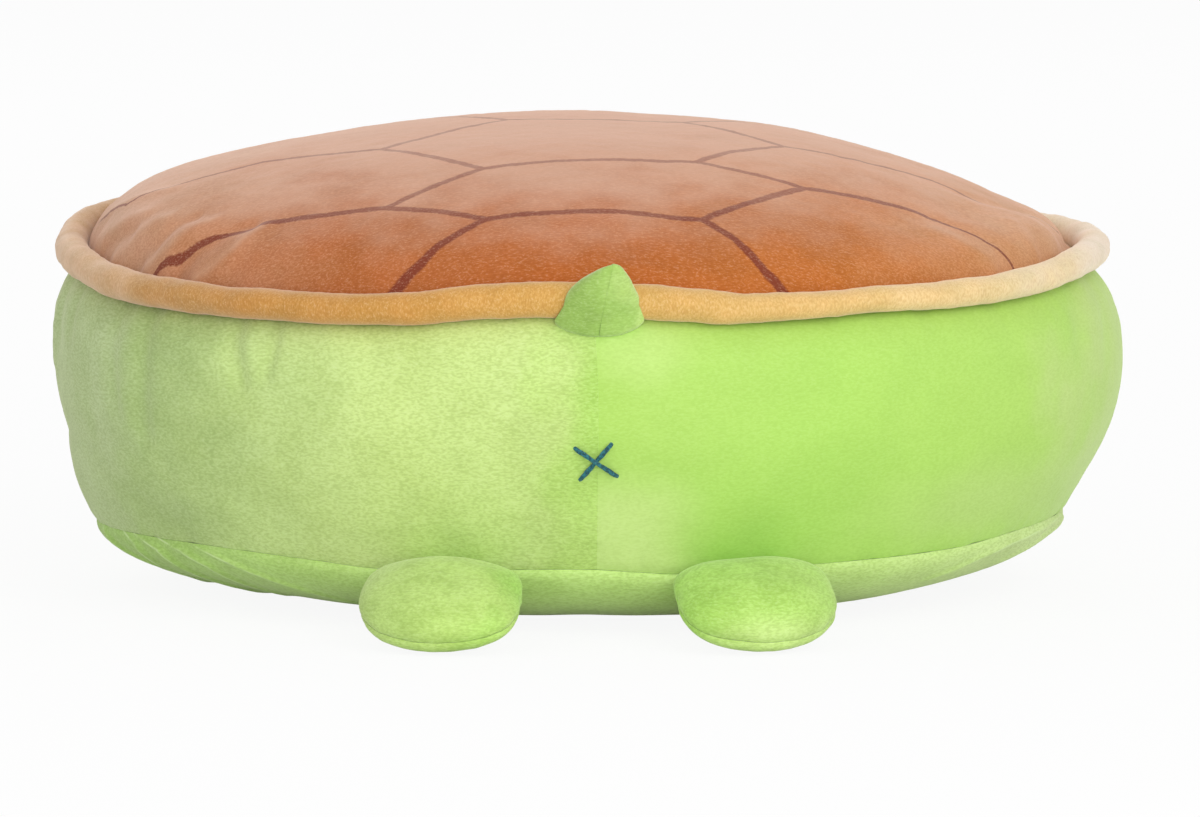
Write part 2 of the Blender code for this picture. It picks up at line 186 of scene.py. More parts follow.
class NodeSheet(Nodes):
    """A material's nodes, and short calls for those that the finishes share."""

    def __init__(self, name: str) -> None:
        """Start a material with its shader and output.

        Args:
            name: The material's name.
        """
        self.material = bpy.data.materials.new(name)
        self.material.use_nodes = True
        super().__init__(self.material.node_tree)
        self.shader = self.tree.nodes["Principled BSDF"]
        coordinates = self.add("ShaderNodeTexCoord").outputs
        self.place, self.panel = coordinates["Object"], coordinates["UV"]

    def mapped(
        self, place: NodeSocket, scale: Triple, start: Triple = (0, 0, 0), turn: float = 0.0
    ) -> NodeSocket:
        """Coordinates multiplied along each axis, turned about Z and moved to a start."""
        inputs = {"Vector": place, "Scale": scale, "Location": start, "Rotation": (0, 0, turn)}
        return self.add("ShaderNodeMapping", inputs).outputs["Vector"]

    def cloud(
        self, place: NodeSocket, size: float, detail: float = 2.0, roughness: float = 0.5, output: str = "Fac"
    ) -> NodeSocket:
        """A noise from 0 to 1 whose patches have a size, with finer layers of some detail and roughness."""
        inputs = {"Vector": place, "Scale": 1 / size, "Detail": detail, "Roughness": roughness}
        return self.add("ShaderNodeTexNoise", inputs).outputs[output]

    def wander(self, size: float, reach: float) -> NodeSocket:
        """A noise about zero over the cloth, as wide as its reach."""
        return self.sum("MULTIPLY", self.sum("SUBTRACT", self.cloud(self.place, size, 3.0), 0.5), reach)

    def blend(self, share: object, first: object, second: object, kind: str = "MIX") -> NodeSocket:
        """Two colours mixed, with a share of the second one."""
        inputs = {0: share, 6: first, 7: second}
        return self.add("ShaderNodeMix", inputs, data_type="RGBA", blend_type=kind).outputs[2]

    def relief(self, *layers: tuple[NodeSocket, float, float]) -> None:
        """Give the shader bumps, laid over each other.

        Args:
            layers: A height, a strength and a depth in metres for each.
        """
        below: dict[str | int, object] = {}
        for height, strength, depth in layers:
            bump = self.add("ShaderNodeBump", {"Height": height, "Strength": strength, "Distance": depth, **below})
            below = {"Normal": bump.outputs["Normal"]}
        self.feed(self.shader, below)


SCUTE_LINES = (
    ((89.3, 60.1), (47.5, 117), (-43.6, 103), (-82.6, 51), (-42.1, -4.1), (35, -2.7), (89.3, 60.1)),
    ((47.5, 117), (87.6, 147.7), (45.6, 171.1), (-45.4, 167), (-90, 119.5), (-43.6, 103)),
    ((45.6, 171.1), (72.4, 187), (100.1, 194.9)),
    ((-45.4, 167), (-71.1, 188.1), (-95.9, 197.1)),
    ((87.6, 147.7), (109.8, 141.7), (149, 127.2), (170, 115.6), (187, 103.6), (200, 91)),
    ((-90, 119.5), (-127.3, 109.3), (-147, 104), (-168, 107), (-188, 105)),
    ((89.3, 60.1), (140, 45.5), (179, 51), (198, 39.5), (213.5, 8)),
    ((-82.6, 51), (-113, 47.5), (-146.7, 43), (-172, 45.5), (-203, 11)),
    ((35, -2.7), (82.5, -71.7), (41.4, -122.9), (-51.5, -116.9), (-88.5, -70.2), (-42.1, -4.1)),
    ((82.5, -71.7), (138.2, -88.9), (204, -98.3)),
    ((-88.5, -70.2), (-140.6, -77.1), (-206, -91.7)),
    ((41.4, -122.9), (82.9, -149.8), (41.3, -176.9), (-50.6, -172), (-93.1, -147.1), (-51.5, -116.9)),
    ((82.9, -149.8), (116.6, -162.5), (146.4, -173.1)),
    ((-93.1, -147.1), (-127.3, -155.4), (-155.5, -164.8)),
    ((41.3, -176.9), (54, -193.2), (61.5, -213.3)),
    ((-50.6, -172), (-64, -188.7), (-73.4, -210.5)),
)


@dataclass(frozen=True)
class Strokes:
    """Lines on a cloth, in millimetres."""

    lines: tuple[Line, ...]

    @classmethod
    def raised(cls, folds: Sequence["Crease"]) -> "Strokes":
        """The tops of those folds that are raised."""
        return cls(tuple(fold.line for fold in folds if fold.depth > 0))

    def distance(self, sheet: NodeSheet, place: NodeSocket) -> NodeSocket:
        """How far a point is from the nearest line, in millimetres.

        Args:
            sheet: The nodes.
            place: The point in millimetres, with no height.

        Returns:
            The distance.
        """
        group = self.stroke_group()
        nearest = None
        for line in self.lines:
            for start, end in zip(line, line[1:]):
                run = Vector((end[0] - start[0], end[1] - start[1], 0))
                inputs = {"Place": place, "Start": (*start, 0), "Run": run, "Share": 1 / run.length_squared}
                here = sheet.add("ShaderNodeGroup", inputs, node_tree=group).outputs["Distance"]
                nearest = here if nearest is None else sheet.sum("MINIMUM", nearest, here)
        return nearest

    @staticmethod
    def stroke_group() -> NodeTree:
        """The nodes that measure the distance to one straight stroke.

        Returns:
            The node group.
        """
        nodes = Nodes(bpy.data.node_groups.new("stroke_distance", "ShaderNodeTree"))
        new_socket = nodes.tree.interface.new_socket
        for name, kind in (("Place", "Vector"), ("Start", "Vector"), ("Run", "Vector"), ("Share", "Float")):
            new_socket(name, in_out="INPUT", socket_type=f"NodeSocket{kind}")
        new_socket("Distance", in_out="OUTPUT", socket_type="NodeSocketFloat")
        taken = nodes.add("NodeGroupInput").outputs
        away = nodes.vector("SUBTRACT", taken["Place"], taken["Start"])
        along = nodes.vector("DOT_PRODUCT", away, taken["Run"])
        share = nodes.sum("MULTIPLY", along, taken["Share"], clamp=True)
        foot = nodes.vector("SCALE", taken["Run"], share)
        nodes.add("NodeGroupOutput", {"Distance": nodes.vector("DISTANCE", away, foot)})
        return nodes.tree


@dataclass(frozen=True)
class CrestHighlights:
    """The tops of raised folds, painted paler as highlights where the light catches them."""

    strokes: Strokes
    tone: str
    width: float  # millimetres
    share: float
    on_panel: tuple[Triple, Triple] | None = None  # a panel's size and start in its own coordinates, or from above

    def blended(self, sheet: NodeSheet, colour: NodeSocket, streaks: NodeSocket) -> NodeSocket:
        """A colour with the painted crest highlights over it.

        Args:
            sheet: The nodes.
            colour: The colour.
            streaks: The fibre streaks.

        Returns:
            The new colour.
        """
        place = sheet.mapped(sheet.place, TO_MILLIMETRES)
        if self.on_panel:
            place = sheet.mapped(sheet.panel, *self.on_panel)
        ragged = sheet.sum("ADD", self.strokes.distance(sheet, place), sheet.sum("MULTIPLY", streaks, self.width))
        beside = sheet.ranged(ragged, self.width * 0.5, self.width * 2.0, self.share, 0)
        # the painted highlight is broken into patches by a noise
        highlight_breakup = sheet.ranged(sheet.cloud(sheet.place, 0.012), 0.30, 0.62)
        return sheet.blend(sheet.sum("MULTIPLY", beside, highlight_breakup), colour, tone(self.tone))


@dataclass(frozen=True)
class Patch:
    """A patch where the pile lies another way and shows another tone."""

    middle: Point  # along X and Z, in metres
    reach: Point
    tone: str
    share: float = 1.0


@dataclass(frozen=True)
class PileFinish:
    """Short plush pile: tones along X for the lie of its nap and for painted light and shade, fibre streaks, bright
    tips and a soft sheen.
    """

    name: str
    # painted light: paler sheen where an end is seen at a grazing angle, and darker shade where a side turns from the
    # lamps
    nap_and_painted_light_tones: tuple[tuple[float, str], ...]  # its tones along X, by rising place in metres
    deep: str = "#b9c49c"
    tip: str = "#eef6cf"
    shade: str = "#dfe3cf"
    patches: tuple[Patch, ...] = ()
    patch_size: float = 0.030
    patch_strength: float = 0.35
    sway_size: float = 0.014  # of the bends in the streaks
    sway: float = 0.0022
    streak_size: float = 0.0008
    fibre_share: float = 0.45  # of a streak's size
    streak_stretch: Triple = (0.4, 0.4, 1.0)
    streak_strength: float = 0.30
    tip_share: float = 0.12
    relief_depth: float = 0.0004
    relief_strength: float = 0.25
    roll_size: float = 0.010  # of the cloth's own unevenness
    sheen: float = 0.35
    sheen_roughness: float = 0.45
    sheen_tint: str = "#f4f2dc"
    half_width: float = 0.24  # of the tones along X
    crest_highlights: CrestHighlights | None = None

    def nap_and_painted_light(self, sheet: NodeSheet) -> NodeSocket:
        """The tone from side to side, with its patches: the lie of the nap, with painted sheen and painted shade.

        Args:
            sheet: The nodes.

        Returns:
            The colour.
        """
        place = sheet.add("ShaderNodeSeparateXYZ", {0: sheet.place}).outputs
        across = sheet.ranged(place["X"], -self.half_width, self.half_width, kind="LINEAR")
        wander = sheet.wander(0.035, 0.16)
        ramp = sheet.add("ShaderNodeValToRGB", {"Fac": sheet.sum("ADD", across, wander)})
        stops = ramp.color_ramp.elements
        while len(stops) < len(self.nap_and_painted_light_tones):
            stops.new(0.5)
        for stop, (spot, code) in zip(stops, self.nap_and_painted_light_tones):
            stop.position = (spot + self.half_width) / (2 * self.half_width)
            stop.color = tone(code)
        colour = ramp.outputs["Color"]
        for patch in self.patches:
            away = sheet.vector("SUBTRACT", sheet.place, (patch.middle[0], 0, patch.middle[1]))
            shrunk = sheet.vector("MULTIPLY", away, (1 / patch.reach[0], 0, 1 / patch.reach[1]))
            edge = sheet.sum("ADD", sheet.vector("LENGTH", shrunk), sheet.sum("MULTIPLY", wander, 6.0))
            colour = sheet.blend(sheet.ranged(edge, 1.5, 0.25, 0, patch.share), colour, tone(patch.tone))
        return colour

    def colour(self, sheet: NodeSheet, streaks: NodeSocket) -> NodeSocket:
        """The pile's colour before its bright tips.

        Args:
            sheet: The nodes.
            streaks: The fibre streaks.

        Returns:
            The colour.
        """
        uneven = sheet.cloud(sheet.mapped(sheet.place, (1, 1, 1.5)), self.patch_size, 3.0, 0.55)
        shade = sheet.ranged(uneven, 0.62, 0.36, 0, self.patch_strength)
        broad = sheet.blend(shade, self.nap_and_painted_light(sheet), tone(self.shade), "MULTIPLY")
        low_streaks = sheet.ranged(streaks, 0.60, 0.32, 0, self.streak_strength)
        colour = sheet.blend(low_streaks, broad, tone(self.deep), "MULTIPLY")
        return self.crest_highlights.blended(sheet, colour, streaks) if self.crest_highlights else colour

    def build(self) -> Material:
        """Make the material.

        Returns:
            The material.
        """
        sheet = NodeSheet(self.name)
        sway = sheet.vector("SCALE", sheet.cloud(sheet.place, self.sway_size, output="Color"), self.sway)
        combed = sheet.vector("ADD", sheet.mapped(sheet.place, self.streak_stretch), sway)
        streaks = sheet.cloud(combed, self.streak_size, 1.5)
        fibres = sheet.cloud(combed, self.streak_size * self.fibre_share, 1.0)
        tips = sheet.ranged(sheet.sum("MULTIPLY", streaks, fibres), 0.26, 0.42, 0, self.tip_share)
        looks = {
            "Base Color": sheet.blend(tips, self.colour(sheet, streaks), tone(self.tip)),
            "Roughness": sheet.ranged(streaks, 0.3, 0.7, 0.95, 0.8),
            "Specular IOR Level": 0.15,
            "Sheen Weight": self.sheen,
            "Sheen Roughness": self.sheen_roughness,
            "Sheen Tint": tone(self.sheen_tint),
        }
        sheet.feed(sheet.shader, looks)
        sheet.relief(
            (sheet.cloud(sheet.place, self.roll_size), 0.22, 0.0010),
            (streaks, self.relief_strength, self.relief_depth),
            (fibres, self.relief_strength * 0.5, self.relief_depth * 0.4),
        )
        return sheet.material


@dataclass(frozen=True)
class PrintedPileFinish(PileFinish):
    """Plush pile with the plates of a shell printed on it, and a pale sheen painted over the top of the dome."""

    ink: str = "#7d3828"
    line_width: float = 3.7  # millimetres
    # painted sheen: the pale tone painted over the top of the dome, between two heights
    top: str = "#e0b49a"
    top_sheen_share: float = 0.62
    top_sheen_from: float = 0.155
    top_sheen_to: float = 0.199
    thin_from: float = 0.12  # metres to either side of the middle, from which the lines run along the steep end
    thin_to: float = 0.212
    thinning: float = 3.9
    stray_size: float = 28  # millimetres, of the bends in the lines
    stray: float = 4
    print: Strokes = Strokes(SCUTE_LINES)

    def colour(self, sheet: NodeSheet, streaks: NodeSocket) -> NodeSocket:
        """The pile's colour with its lines, under a painted sheen that makes the top and the lines there paler.

        Args:
            sheet: The nodes.
            streaks: The fibre streaks.

        Returns:
            The colour.
        """
        place = sheet.add("ShaderNodeSeparateXYZ", {0: sheet.place}).outputs
        # painted sheen: the higher on the dome, the more of the pale top tone
        high = sheet.ranged(sheet.sum("ADD", place["Z"], sheet.wander(0.028, 0.05)), self.top_sheen_from, self.top_sheen_to)
        top_sheen_share = sheet.sum("MULTIPLY", high, self.top_sheen_share)
        plain = sheet.blend(top_sheen_share, super().colour(sheet, streaks), tone(self.top))
        flat = sheet.mapped(sheet.place, TO_MILLIMETRES)
        stray = sheet.vector("SUBTRACT", sheet.cloud(flat, self.stray_size, 3.0, output="Color"), (0.5, 0.5, 0.5))
        moved = sheet.vector("ADD", flat, sheet.vector("MULTIPLY", stray, (self.stray, self.stray, 0)))
        aside = sheet.sum("MULTIPLY", place["X"], place["X"])
        narrowing = sheet.ranged(aside, self.thin_from**2, self.thin_to**2, 1.0, self.thinning)
        away = sheet.sum("MULTIPLY", self.print.distance(sheet, moved), narrowing)
        edge = sheet.sum("ADD", away, sheet.sum("SUBTRACT", streaks, 0.5))
        inked = sheet.sum("SUBTRACT", 1.0, sheet.ranged(edge, self.line_width * 0.34, self.line_width * 0.66))
        # painted sheen: the printed lines are paler towards the top
        share = sheet.sum("MULTIPLY", inked, sheet.ranged(high, 0.0, 1.0, 0.92, 0.68))
        return sheet.blend(share, plain, tone(self.ink))


@dataclass(frozen=True)
class ThreadFinish:
    """Embroidery thread, twisted from strands."""

    name: str
    dark: str
    light: str
    strand: float = 0.0009

    def build(self) -> Material:
        """Make the material.

        Returns:
            The material.
        """
        sheet = NodeSheet(self.name)
        twist = sheet.cloud(sheet.mapped(sheet.place, (1, 0.4, 1), turn=0.6), self.strand, 1.0)
        lint = sheet.cloud(sheet.place, self.strand * 0.35)
        looks = {
            "Base Color": sheet.blend(sheet.ranged(twist, 0.35, 0.65), tone(self.dark), tone(self.light)),
            "Roughness": sheet.ranged(lint, 0.3, 0.7, 0.5, 0.8),
            "Sheen Weight": 0.3,
            "Sheen Roughness": 0.4,
        }
        sheet.feed(sheet.shader, looks)
        sheet.relief((twist, 0.5, 0.0003), (lint, 0.4, 0.0001))
        return sheet.material


@dataclass(frozen=True)
class FibreFinish:
    """Loose white filling."""

    name: str = "filling_fibre"
    shade: str = "#e4e3de"
    light: str = "#f7f6f2"

    def build(self) -> Material:
        """Make the material.

        Returns:
            The material.
        """
        sheet = NodeSheet(self.name)
        lumps = sheet.cloud(sheet.place, 0.012, 4.0, 0.6)
        strands = sheet.cloud(sheet.mapped(sheet.place, (1, 0.2, 0.6), turn=0.7), 0.0012, 3.0, 0.6)
        share = sheet.ranged(sheet.sum("MULTIPLY", lumps, strands), 0.15, 0.4)
        looks = {
            "Base Color": sheet.blend(share, tone(self.shade), tone(self.light)),
            "Roughness": sheet.ranged(strands, 0.3, 0.7, 0.98, 0.85),
            "Sheen Weight": 0.5,
        }
        sheet.feed(sheet.shader, looks)
        sheet.relief((lumps, 0.6, 0.003), (strands, 0.5, 0.0006))
        return sheet.material


# Forms


@dataclass(frozen=True)
class Crease:
    """A fold pressed into a cloth, or a ridge raised on it, along a line on the form."""

    line: Line
    width: float
    depth: float  # below zero where it goes in

    def lift(self, across: float, along: float) -> float:
        """How far the fold raises the cloth at a point.

        Args:
            across: The first coordinate of the point.
            along: The second one.

        Returns:
            The lift, in metres.
        """
        nearest = math.inf
        for start, end in zip(self.line, self.line[1:]):
            run = (end[0] - start[0], end[1] - start[1])
            away = (across - start[0], along - start[1])
            share = clamped((away[0] * run[0] + away[1] * run[1]) / (run[0] ** 2 + run[1] ** 2))
            nearest = min(nearest, math.hypot(away[0] - share * run[0], away[1] - share * run[1]))
        return 0.0 if nearest > 3 * self.width else self.depth * math.exp(-((nearest / self.width) ** 2))


def through(knots: Sequence[Point], place: float) -> float:
    """The value at a place on a smooth curve through its knots.

    Args:
        knots: Places and values, by rising place.
        place: The place.

    Returns:
        The value.
    """
    if place <= knots[0][0]:
        return knots[0][1]
    if place >= knots[-1][0]:
        return knots[-1][1]
    index = next(step for step in range(len(knots) - 1) if place <= knots[step + 1][0])
    (start, low), (end, high) = knots[index : index + 2]
    before = knots[max(index - 1, 0)]
    after = knots[min(index + 2, len(knots) - 1)]
    run = end - start
    leave = (high - before[1]) / (end - before[0]) * run
    arrive = (after[1] - low) / (after[0] - start) * run
    share = (place - start) / run
    rise = (3 - 2 * share) * share**2
    return low + (high - low) * rise + leave * share * (1 - share) ** 2 - arrive * share**2 * (1 - share)


@dataclass(frozen=True)
class RoundCurve:
    """A value that changes smoothly round the body, through its knots."""

    knots: Line  # an azimuth in degrees and a value, by rising azimuth, from -180 to 180

    def at(self, azimuth: float) -> float:
        """The value at an azimuth, in radians."""
        return through(self.knots, (math.degrees(azimuth) + 180) % 360 - 180)


def eased(share: float, strength: float) -> float:
    """A share with finer steps near both of its ends, from a strength of 0, even, to 1."""
    return share - strength * math.sin(2 * math.pi * share) / (2 * math.pi)


def pile_wave(point: Vector, height: float = 0.0003) -> float:
    """How far the uneven top of the pile, of some height, is raised at a point."""
    return height * (0.65 * noise.noise(point * 170) + 0.35 * noise.noise(point * 420))


def seam_roll(distance: float, reach: float, depth: float) -> float:
    """How far a panel's edge turns in at a distance from its seam, within a reach and to a depth."""
    return depth * near(distance, reach, 2)


def on_ball(turn: float, tilt: float) -> Vector:
    """A point of the unit ball, by its turn round Y and its tilt away from -Y."""
    return Vector((math.sin(tilt) * math.cos(turn), -math.cos(tilt), math.sin(tilt) * math.sin(turn)))


def add_cloth(name: str, grid: tuple[int, int], place: Place, core: Vector, wall: float = 0.0) -> Object:
    """A panel: a fine grid laid over a form, with its faces outwards and a wall if asked.

    Args:
        name: The piece's name.
        grid: How many steps its two shares take.
        place: Where a point of the grid lies, by two shares from 0 to 1.
        core: A point inside the form.
        wall: The cloth's thickness, or 0 for a closed form.

    Returns:
        The new object.
    """
    mesh = bmesh.new()
    mesh.loops.layers.uv.new("panel")
    bmesh.ops.create_grid(mesh, x_segments=grid[0], y_segments=grid[1], size=0.5, calc_uvs=True)
    for vert in mesh.verts:
        vert.co = place(clamped(vert.co.x + 0.5), clamped(vert.co.y + 0.5))
    bmesh.ops.remove_doubles(mesh, verts=mesh.verts, dist=MERGE_DISTANCE)
    bmesh.ops.recalc_face_normals(mesh, faces=mesh.faces)
    if sum((face.calc_center_median() - core).dot(face.normal) * face.calc_area() for face in mesh.faces) < 0:
        bmesh.ops.reverse_faces(mesh, faces=mesh.faces)
    return add_object(name, mesh, wall)


def add_object(name: str, mesh: bmesh.types.BMesh, wall: float = 0.0) -> Object:
    """An object from a bmesh, which it uses up.

    Args:
        name: The piece's name.
        mesh: The mesh.
        wall: The thickness it is given inwards, or 0.

    Returns:
        The new object.
    """
    data = bpy.data.meshes.new(name)
    mesh.to_mesh(data)
    mesh.free()
    data.shade_smooth()
    piece = bpy.data.objects.new(name, data)
    bpy.context.scene.collection.objects.link(piece)
    if wall:
        thicken = piece.modifiers.new("wall", "SOLIDIFY")
        thicken.thickness = wall
        thicken.offset = -1
        piece.data = bpy.data.meshes.new_from_object(piece.evaluated_get(bpy.context.evaluated_depsgraph_get()))
        piece.modifiers.clear()
        piece.data.set_sharp_from_angle(angle=SHARP_ANGLE)
    return piece


def add_threads(name: str, radius: float, threads: Sequence[Sequence[Vector]]) -> Object:
    """Round strands, each through its own points.

    Args:
        name: The piece's name.
        radius: Half a strand's thickness.
        threads: The points of each strand.

    Returns:
        The new object.
    """
    curve = bpy.data.curves.new(name, "CURVE")
    curve.dimensions = "3D"
    curve.bevel_depth = radius
    curve.bevel_resolution = 2
    curve.use_fill_caps = True
    for thread in threads:
        spline = curve.splines.new("POLY")
        spline.points.add(len(thread) - 1)
        for knot, spot in zip(spline.points, thread):
            knot.co = (*spot, 1)
    piece = bpy.data.objects.new(name, curve)
    bpy.context.scene.collection.objects.link(piece)
    return piece


def finish_piece(
    piece: Object, material: Material, body: str, node: str
) -> None:
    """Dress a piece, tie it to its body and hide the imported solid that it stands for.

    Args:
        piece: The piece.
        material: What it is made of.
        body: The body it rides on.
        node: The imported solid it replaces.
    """
    piece.data.materials.append(material)
    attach(piece, body)
    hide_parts(node)
    log.info("%s: %d faces", piece.name, len(piece.data.polygons) if piece.type == "MESH" else 0)


@dataclass(frozen=True)
class BodyForm:
    """The round body that the shell, the rim, the side bands and the base share."""

    width: float
    depth: float
    crest_height: float
    base_seam_height: float
    rim_seam_height: float
    flat_width: float = 0.200
    base_seam_tuck: float = 0.023
    full_height: float = 0.100
    rim_seam_tuck: float = 0.0165
    rim_diameter: float = 0.0142
    rim_rise: float = 0.0035  # of the tube's middle over its seam
    shoulder_power: float = 3.2
    shell_power: float = 2.3
    upper_shift: float = 0.0021
    pull: float = 0.0008  # how far the base seam draws in
    calm: Point = (72, 35)  # the azimuth where that is least and how far it reaches, in degrees
    lower_swell: Point = (0.036, 0.032)  # the height of the lower bulge and how far it reaches
    upper_swell: Point = (0.084, 0.036)
    rim_sag: RoundCurve = RoundCurve(
        (
            (-180, 0), (-138.8, 0), (-108.8, 0.0012), (-88.8, 0.0022), (-74.8, 0.0018), (-60.8, -0.0014),
            (-48.8, -0.003), (-32.8, -0.003), (-22.8, -0.004), (-15.8, -0.004), (-10.8, -0.0022), (-4.8, 0.0002),
            (1.2, 0.001), (7.2, 0.0006), (14.2, -0.0016), (23.2, -0.005), (41.2, -0.0056), (59.2, -0.005),
            (76.2, -0.0007), (84.2, 0.0017), (91.2, 0.003), (106.2, 0.0075), (126.2, 0.007), (151.2, 0.003), (180, 0),
        )
    )
    base_dip: RoundCurve = RoundCurve(
        (
            (-180, 0), (-130, 0.001), (-99, 0.004), (-72, 0.005), (-60, 0.004), (-49, 0.0015), (-38, 0.0005),
            (-28.8, 0), (-18.8, -0.001), (-9.8, -0.002), (-2.8, -0.0005), (1.2, 0.0003), (7.2, 0.0001),
            (15.2, -0.001), (26.2, -0.0016), (37.2, 0.0006), (51.2, 0.0018), (64, 0.0014), (78, 0.0006),
            (95, 0), (180, 0),
        )
    )
    upper_bulge: RoundCurve = RoundCurve(((-180, 0), (-115, 0), (-90, 0.002), (-65, 0.0005), (-40, 0), (180, 0)))
    lower_bulge: RoundCurve = RoundCurve(
        (
            (-180, 0), (-103.8, 0), (-83.8, -0.001), (-58.8, 0), (61.2, 0), (86.2, 0.0056), (106.2, 0.003),
            (131.2, 0), (180, 0),
        )
    )

    @classmethod
    def measured(cls) -> "BodyForm":
        """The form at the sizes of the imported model."""
        low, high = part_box("side_band_left")
        return cls(2 * high.x, high.y - low.y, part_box("shell_cover")[1].z, low.z, high.z)

    @property
    def depth_share(self) -> float:
        """The depth as a share of the width."""
        return self.depth / self.width

    @property
    def seam_radius(self) -> float:
        """Half the width at the seam under the rim."""
        return self.width / 2 - self.rim_seam_tuck

    @property
    def base_reach(self) -> float:
        """Half the width at the base seam."""
        return self.width / 2 - self.base_seam_tuck

    @property
    def core(self) -> Vector:
        """A point in the middle of the body."""
        return Vector((0, 0, self.full_height))

    def around(self, azimuth: float, radius: float, height: float) -> Vector:
        """A point on the body's oval, which is moved a little to the left over its widest height.

        Args:
            azimuth: Its place round the body, from the back.
            radius: Half the width there.
            height: Its height.

        Returns:
            The point.
        """
        rise = (height - self.full_height) / (self.rim_seam_height - self.full_height)
        across = self.upper_shift * clamped(rise) ** 2 + radius * math.sin(azimuth)
        return Vector((across, radius * self.depth_share * math.cos(azimuth), height))

    def seam_pull(self, azimuth: float) -> float:
        """How far the base seam draws in: unevenly, and least on the left."""
        calm = near(abs(math.degrees(azimuth) - self.calm[0]), self.calm[1])
        return self.pull * (1 - 0.7 * calm) * (0.8 + 0.8 * rough(azimuth * 24, 8.8, 0.4))

    def low_bulge(self, azimuth: float, height: float) -> float:
        """How far the band and the base bulge low down."""
        middle, reach = self.lower_swell
        return self.lower_bulge.at(azimuth) * near((height - middle) ** 2, reach**2)

    def high_bulge(self, azimuth: float, height: float) -> float:
        """How far the band bulges high up."""
        middle, reach = self.upper_swell
        return self.upper_bulge.at(azimuth) * near((height - middle) ** 2, reach**2)

    def band_radius(self, height: float) -> float:
        """Half the width of the side band at a height, before its folds.

        Args:
            height: The height, from the base seam to the seam under the rim.

        Returns:
            The radius.
        """
        if height < self.full_height:
            share = max(0.0, height - self.base_seam_height) / (self.full_height - self.base_seam_height)
            return self.width / 2 - self.base_seam_tuck * (1 - math.sin(math.pi / 2 * share))
        share = (height - self.full_height) / (self.rim_seam_height - self.full_height)
        return self.width / 2 - self.rim_seam_tuck * share**self.shoulder_power

    def outside(self, point: Vector, clearance: float) -> bool:
        """Whether a point lies outside the body, by a clearance.

        Args:
            point: The point.
            clearance: How far.

        Returns:
            True if it does.
        """
        radius = math.hypot(point.x, point.y / self.depth_share)
        if point.z <= self.base_seam_height:
            flat = self.flat_width / 2
            turn = math.acos(clamped(1 - point.z / self.base_seam_height))
            return radius > flat + (self.base_reach - flat) * math.sin(turn) + clearance
        if point.z <= self.rim_seam_height:
            return radius > self.band_radius(point.z) + clearance
        tube = self.rim_diameter / 2
        rim = Vector((radius - (self.seam_radius + tube + GAP), point.z - self.rim_seam_height - self.rim_rise))
        return rim.length > tube + clearance and radius > self.seam_radius


@dataclass
class SideBand:
    """Half of the side band, from the front seam to the back seam."""

    form: BodyForm
    side: Side
    folds: tuple[Crease, ...]
    grid: tuple[int, int] = (400, 66)
    seam_gap: float = 0.00002
    seam_reach: float = 0.004
    fold_scale: float = 4  # the arc of a degree, in millimetres, by which the folds are laid out
    unevenness: float = 0.0012
    rim_tucks: Point = (0.022, 0.0011)  # how far from the seam the small puckers reach, and how deep they are
    base_tucks: Point = (0.016, 0.0008)

    def place(self, across: float, up: float) -> Vector:
        """Where a point of the panel lies.

        Args:
            across: The share of the way from the back seam to the front seam.
            up: The share of the way up from the base seam.

        Returns:
            The point.
        """
        form = self.form
        back, rise = eased(across, 0.35), eased(up, 0.45)
        edge = self.seam_gap / form.width
        azimuth = self.side.value * (edge + back * (math.pi - 2 * edge))
        tall = form.rim_seam_height - form.base_seam_height
        to_base, to_rim = rise * tall, (1 - rise) * tall
        height = form.base_seam_height + to_base
        radius = form.band_radius(height)
        radius += sum(fold.lift(math.degrees(azimuth) * self.fold_scale, to_base * 1000) for fold in self.folds)
        radius += form.low_bulge(azimuth, height) + form.high_bulge(azimuth, height)
        radius += min(1.0, min(to_base, to_rim) / 0.02) * self.unevenness * rough(azimuth * 5, height * 22, 3.1)
        arc = min(back, 1 - back) * math.pi * form.width / 2
        stitched = 0.0001 + 0.0009 * near(height, 0.080) * (0.6 + rough(0.5, 1.5, height * 260))
        radius -= seam_roll(arc, self.seam_reach, stitched) + seam_roll(to_rim, self.seam_reach, 0.0008)
        radius -= seam_roll(to_base, self.seam_reach, form.seam_pull(azimuth))
        reach, depth = self.rim_tucks
        radius += near(to_rim, reach, 1.5) * depth * rough(azimuth * 26, 0.3, 7.7 + height * 12)
        reach, depth = self.base_tucks
        radius += near(to_base, reach, 1.5) * depth * rough(azimuth * 30, 4.3, height * 12)
        height += form.rim_sag.at(azimuth) * rise**2 + form.base_dip.at(azimuth) * (1 - rise) ** 3
        return form.around(azimuth, radius + pile_wave(form.around(azimuth, radius, height)), height)

    def build(self, material: Material, slot: str) -> None:
        """Make the panel.

        Args:
            material: Its pile.
            slot: Not used.
        """
        node = f"side_band_{self.side.name.lower()}"
        piece = add_cloth(f"{node}_cover", self.grid, self.place, self.form.core, CLOTH)
        finish_piece(piece, material, "torso", node)


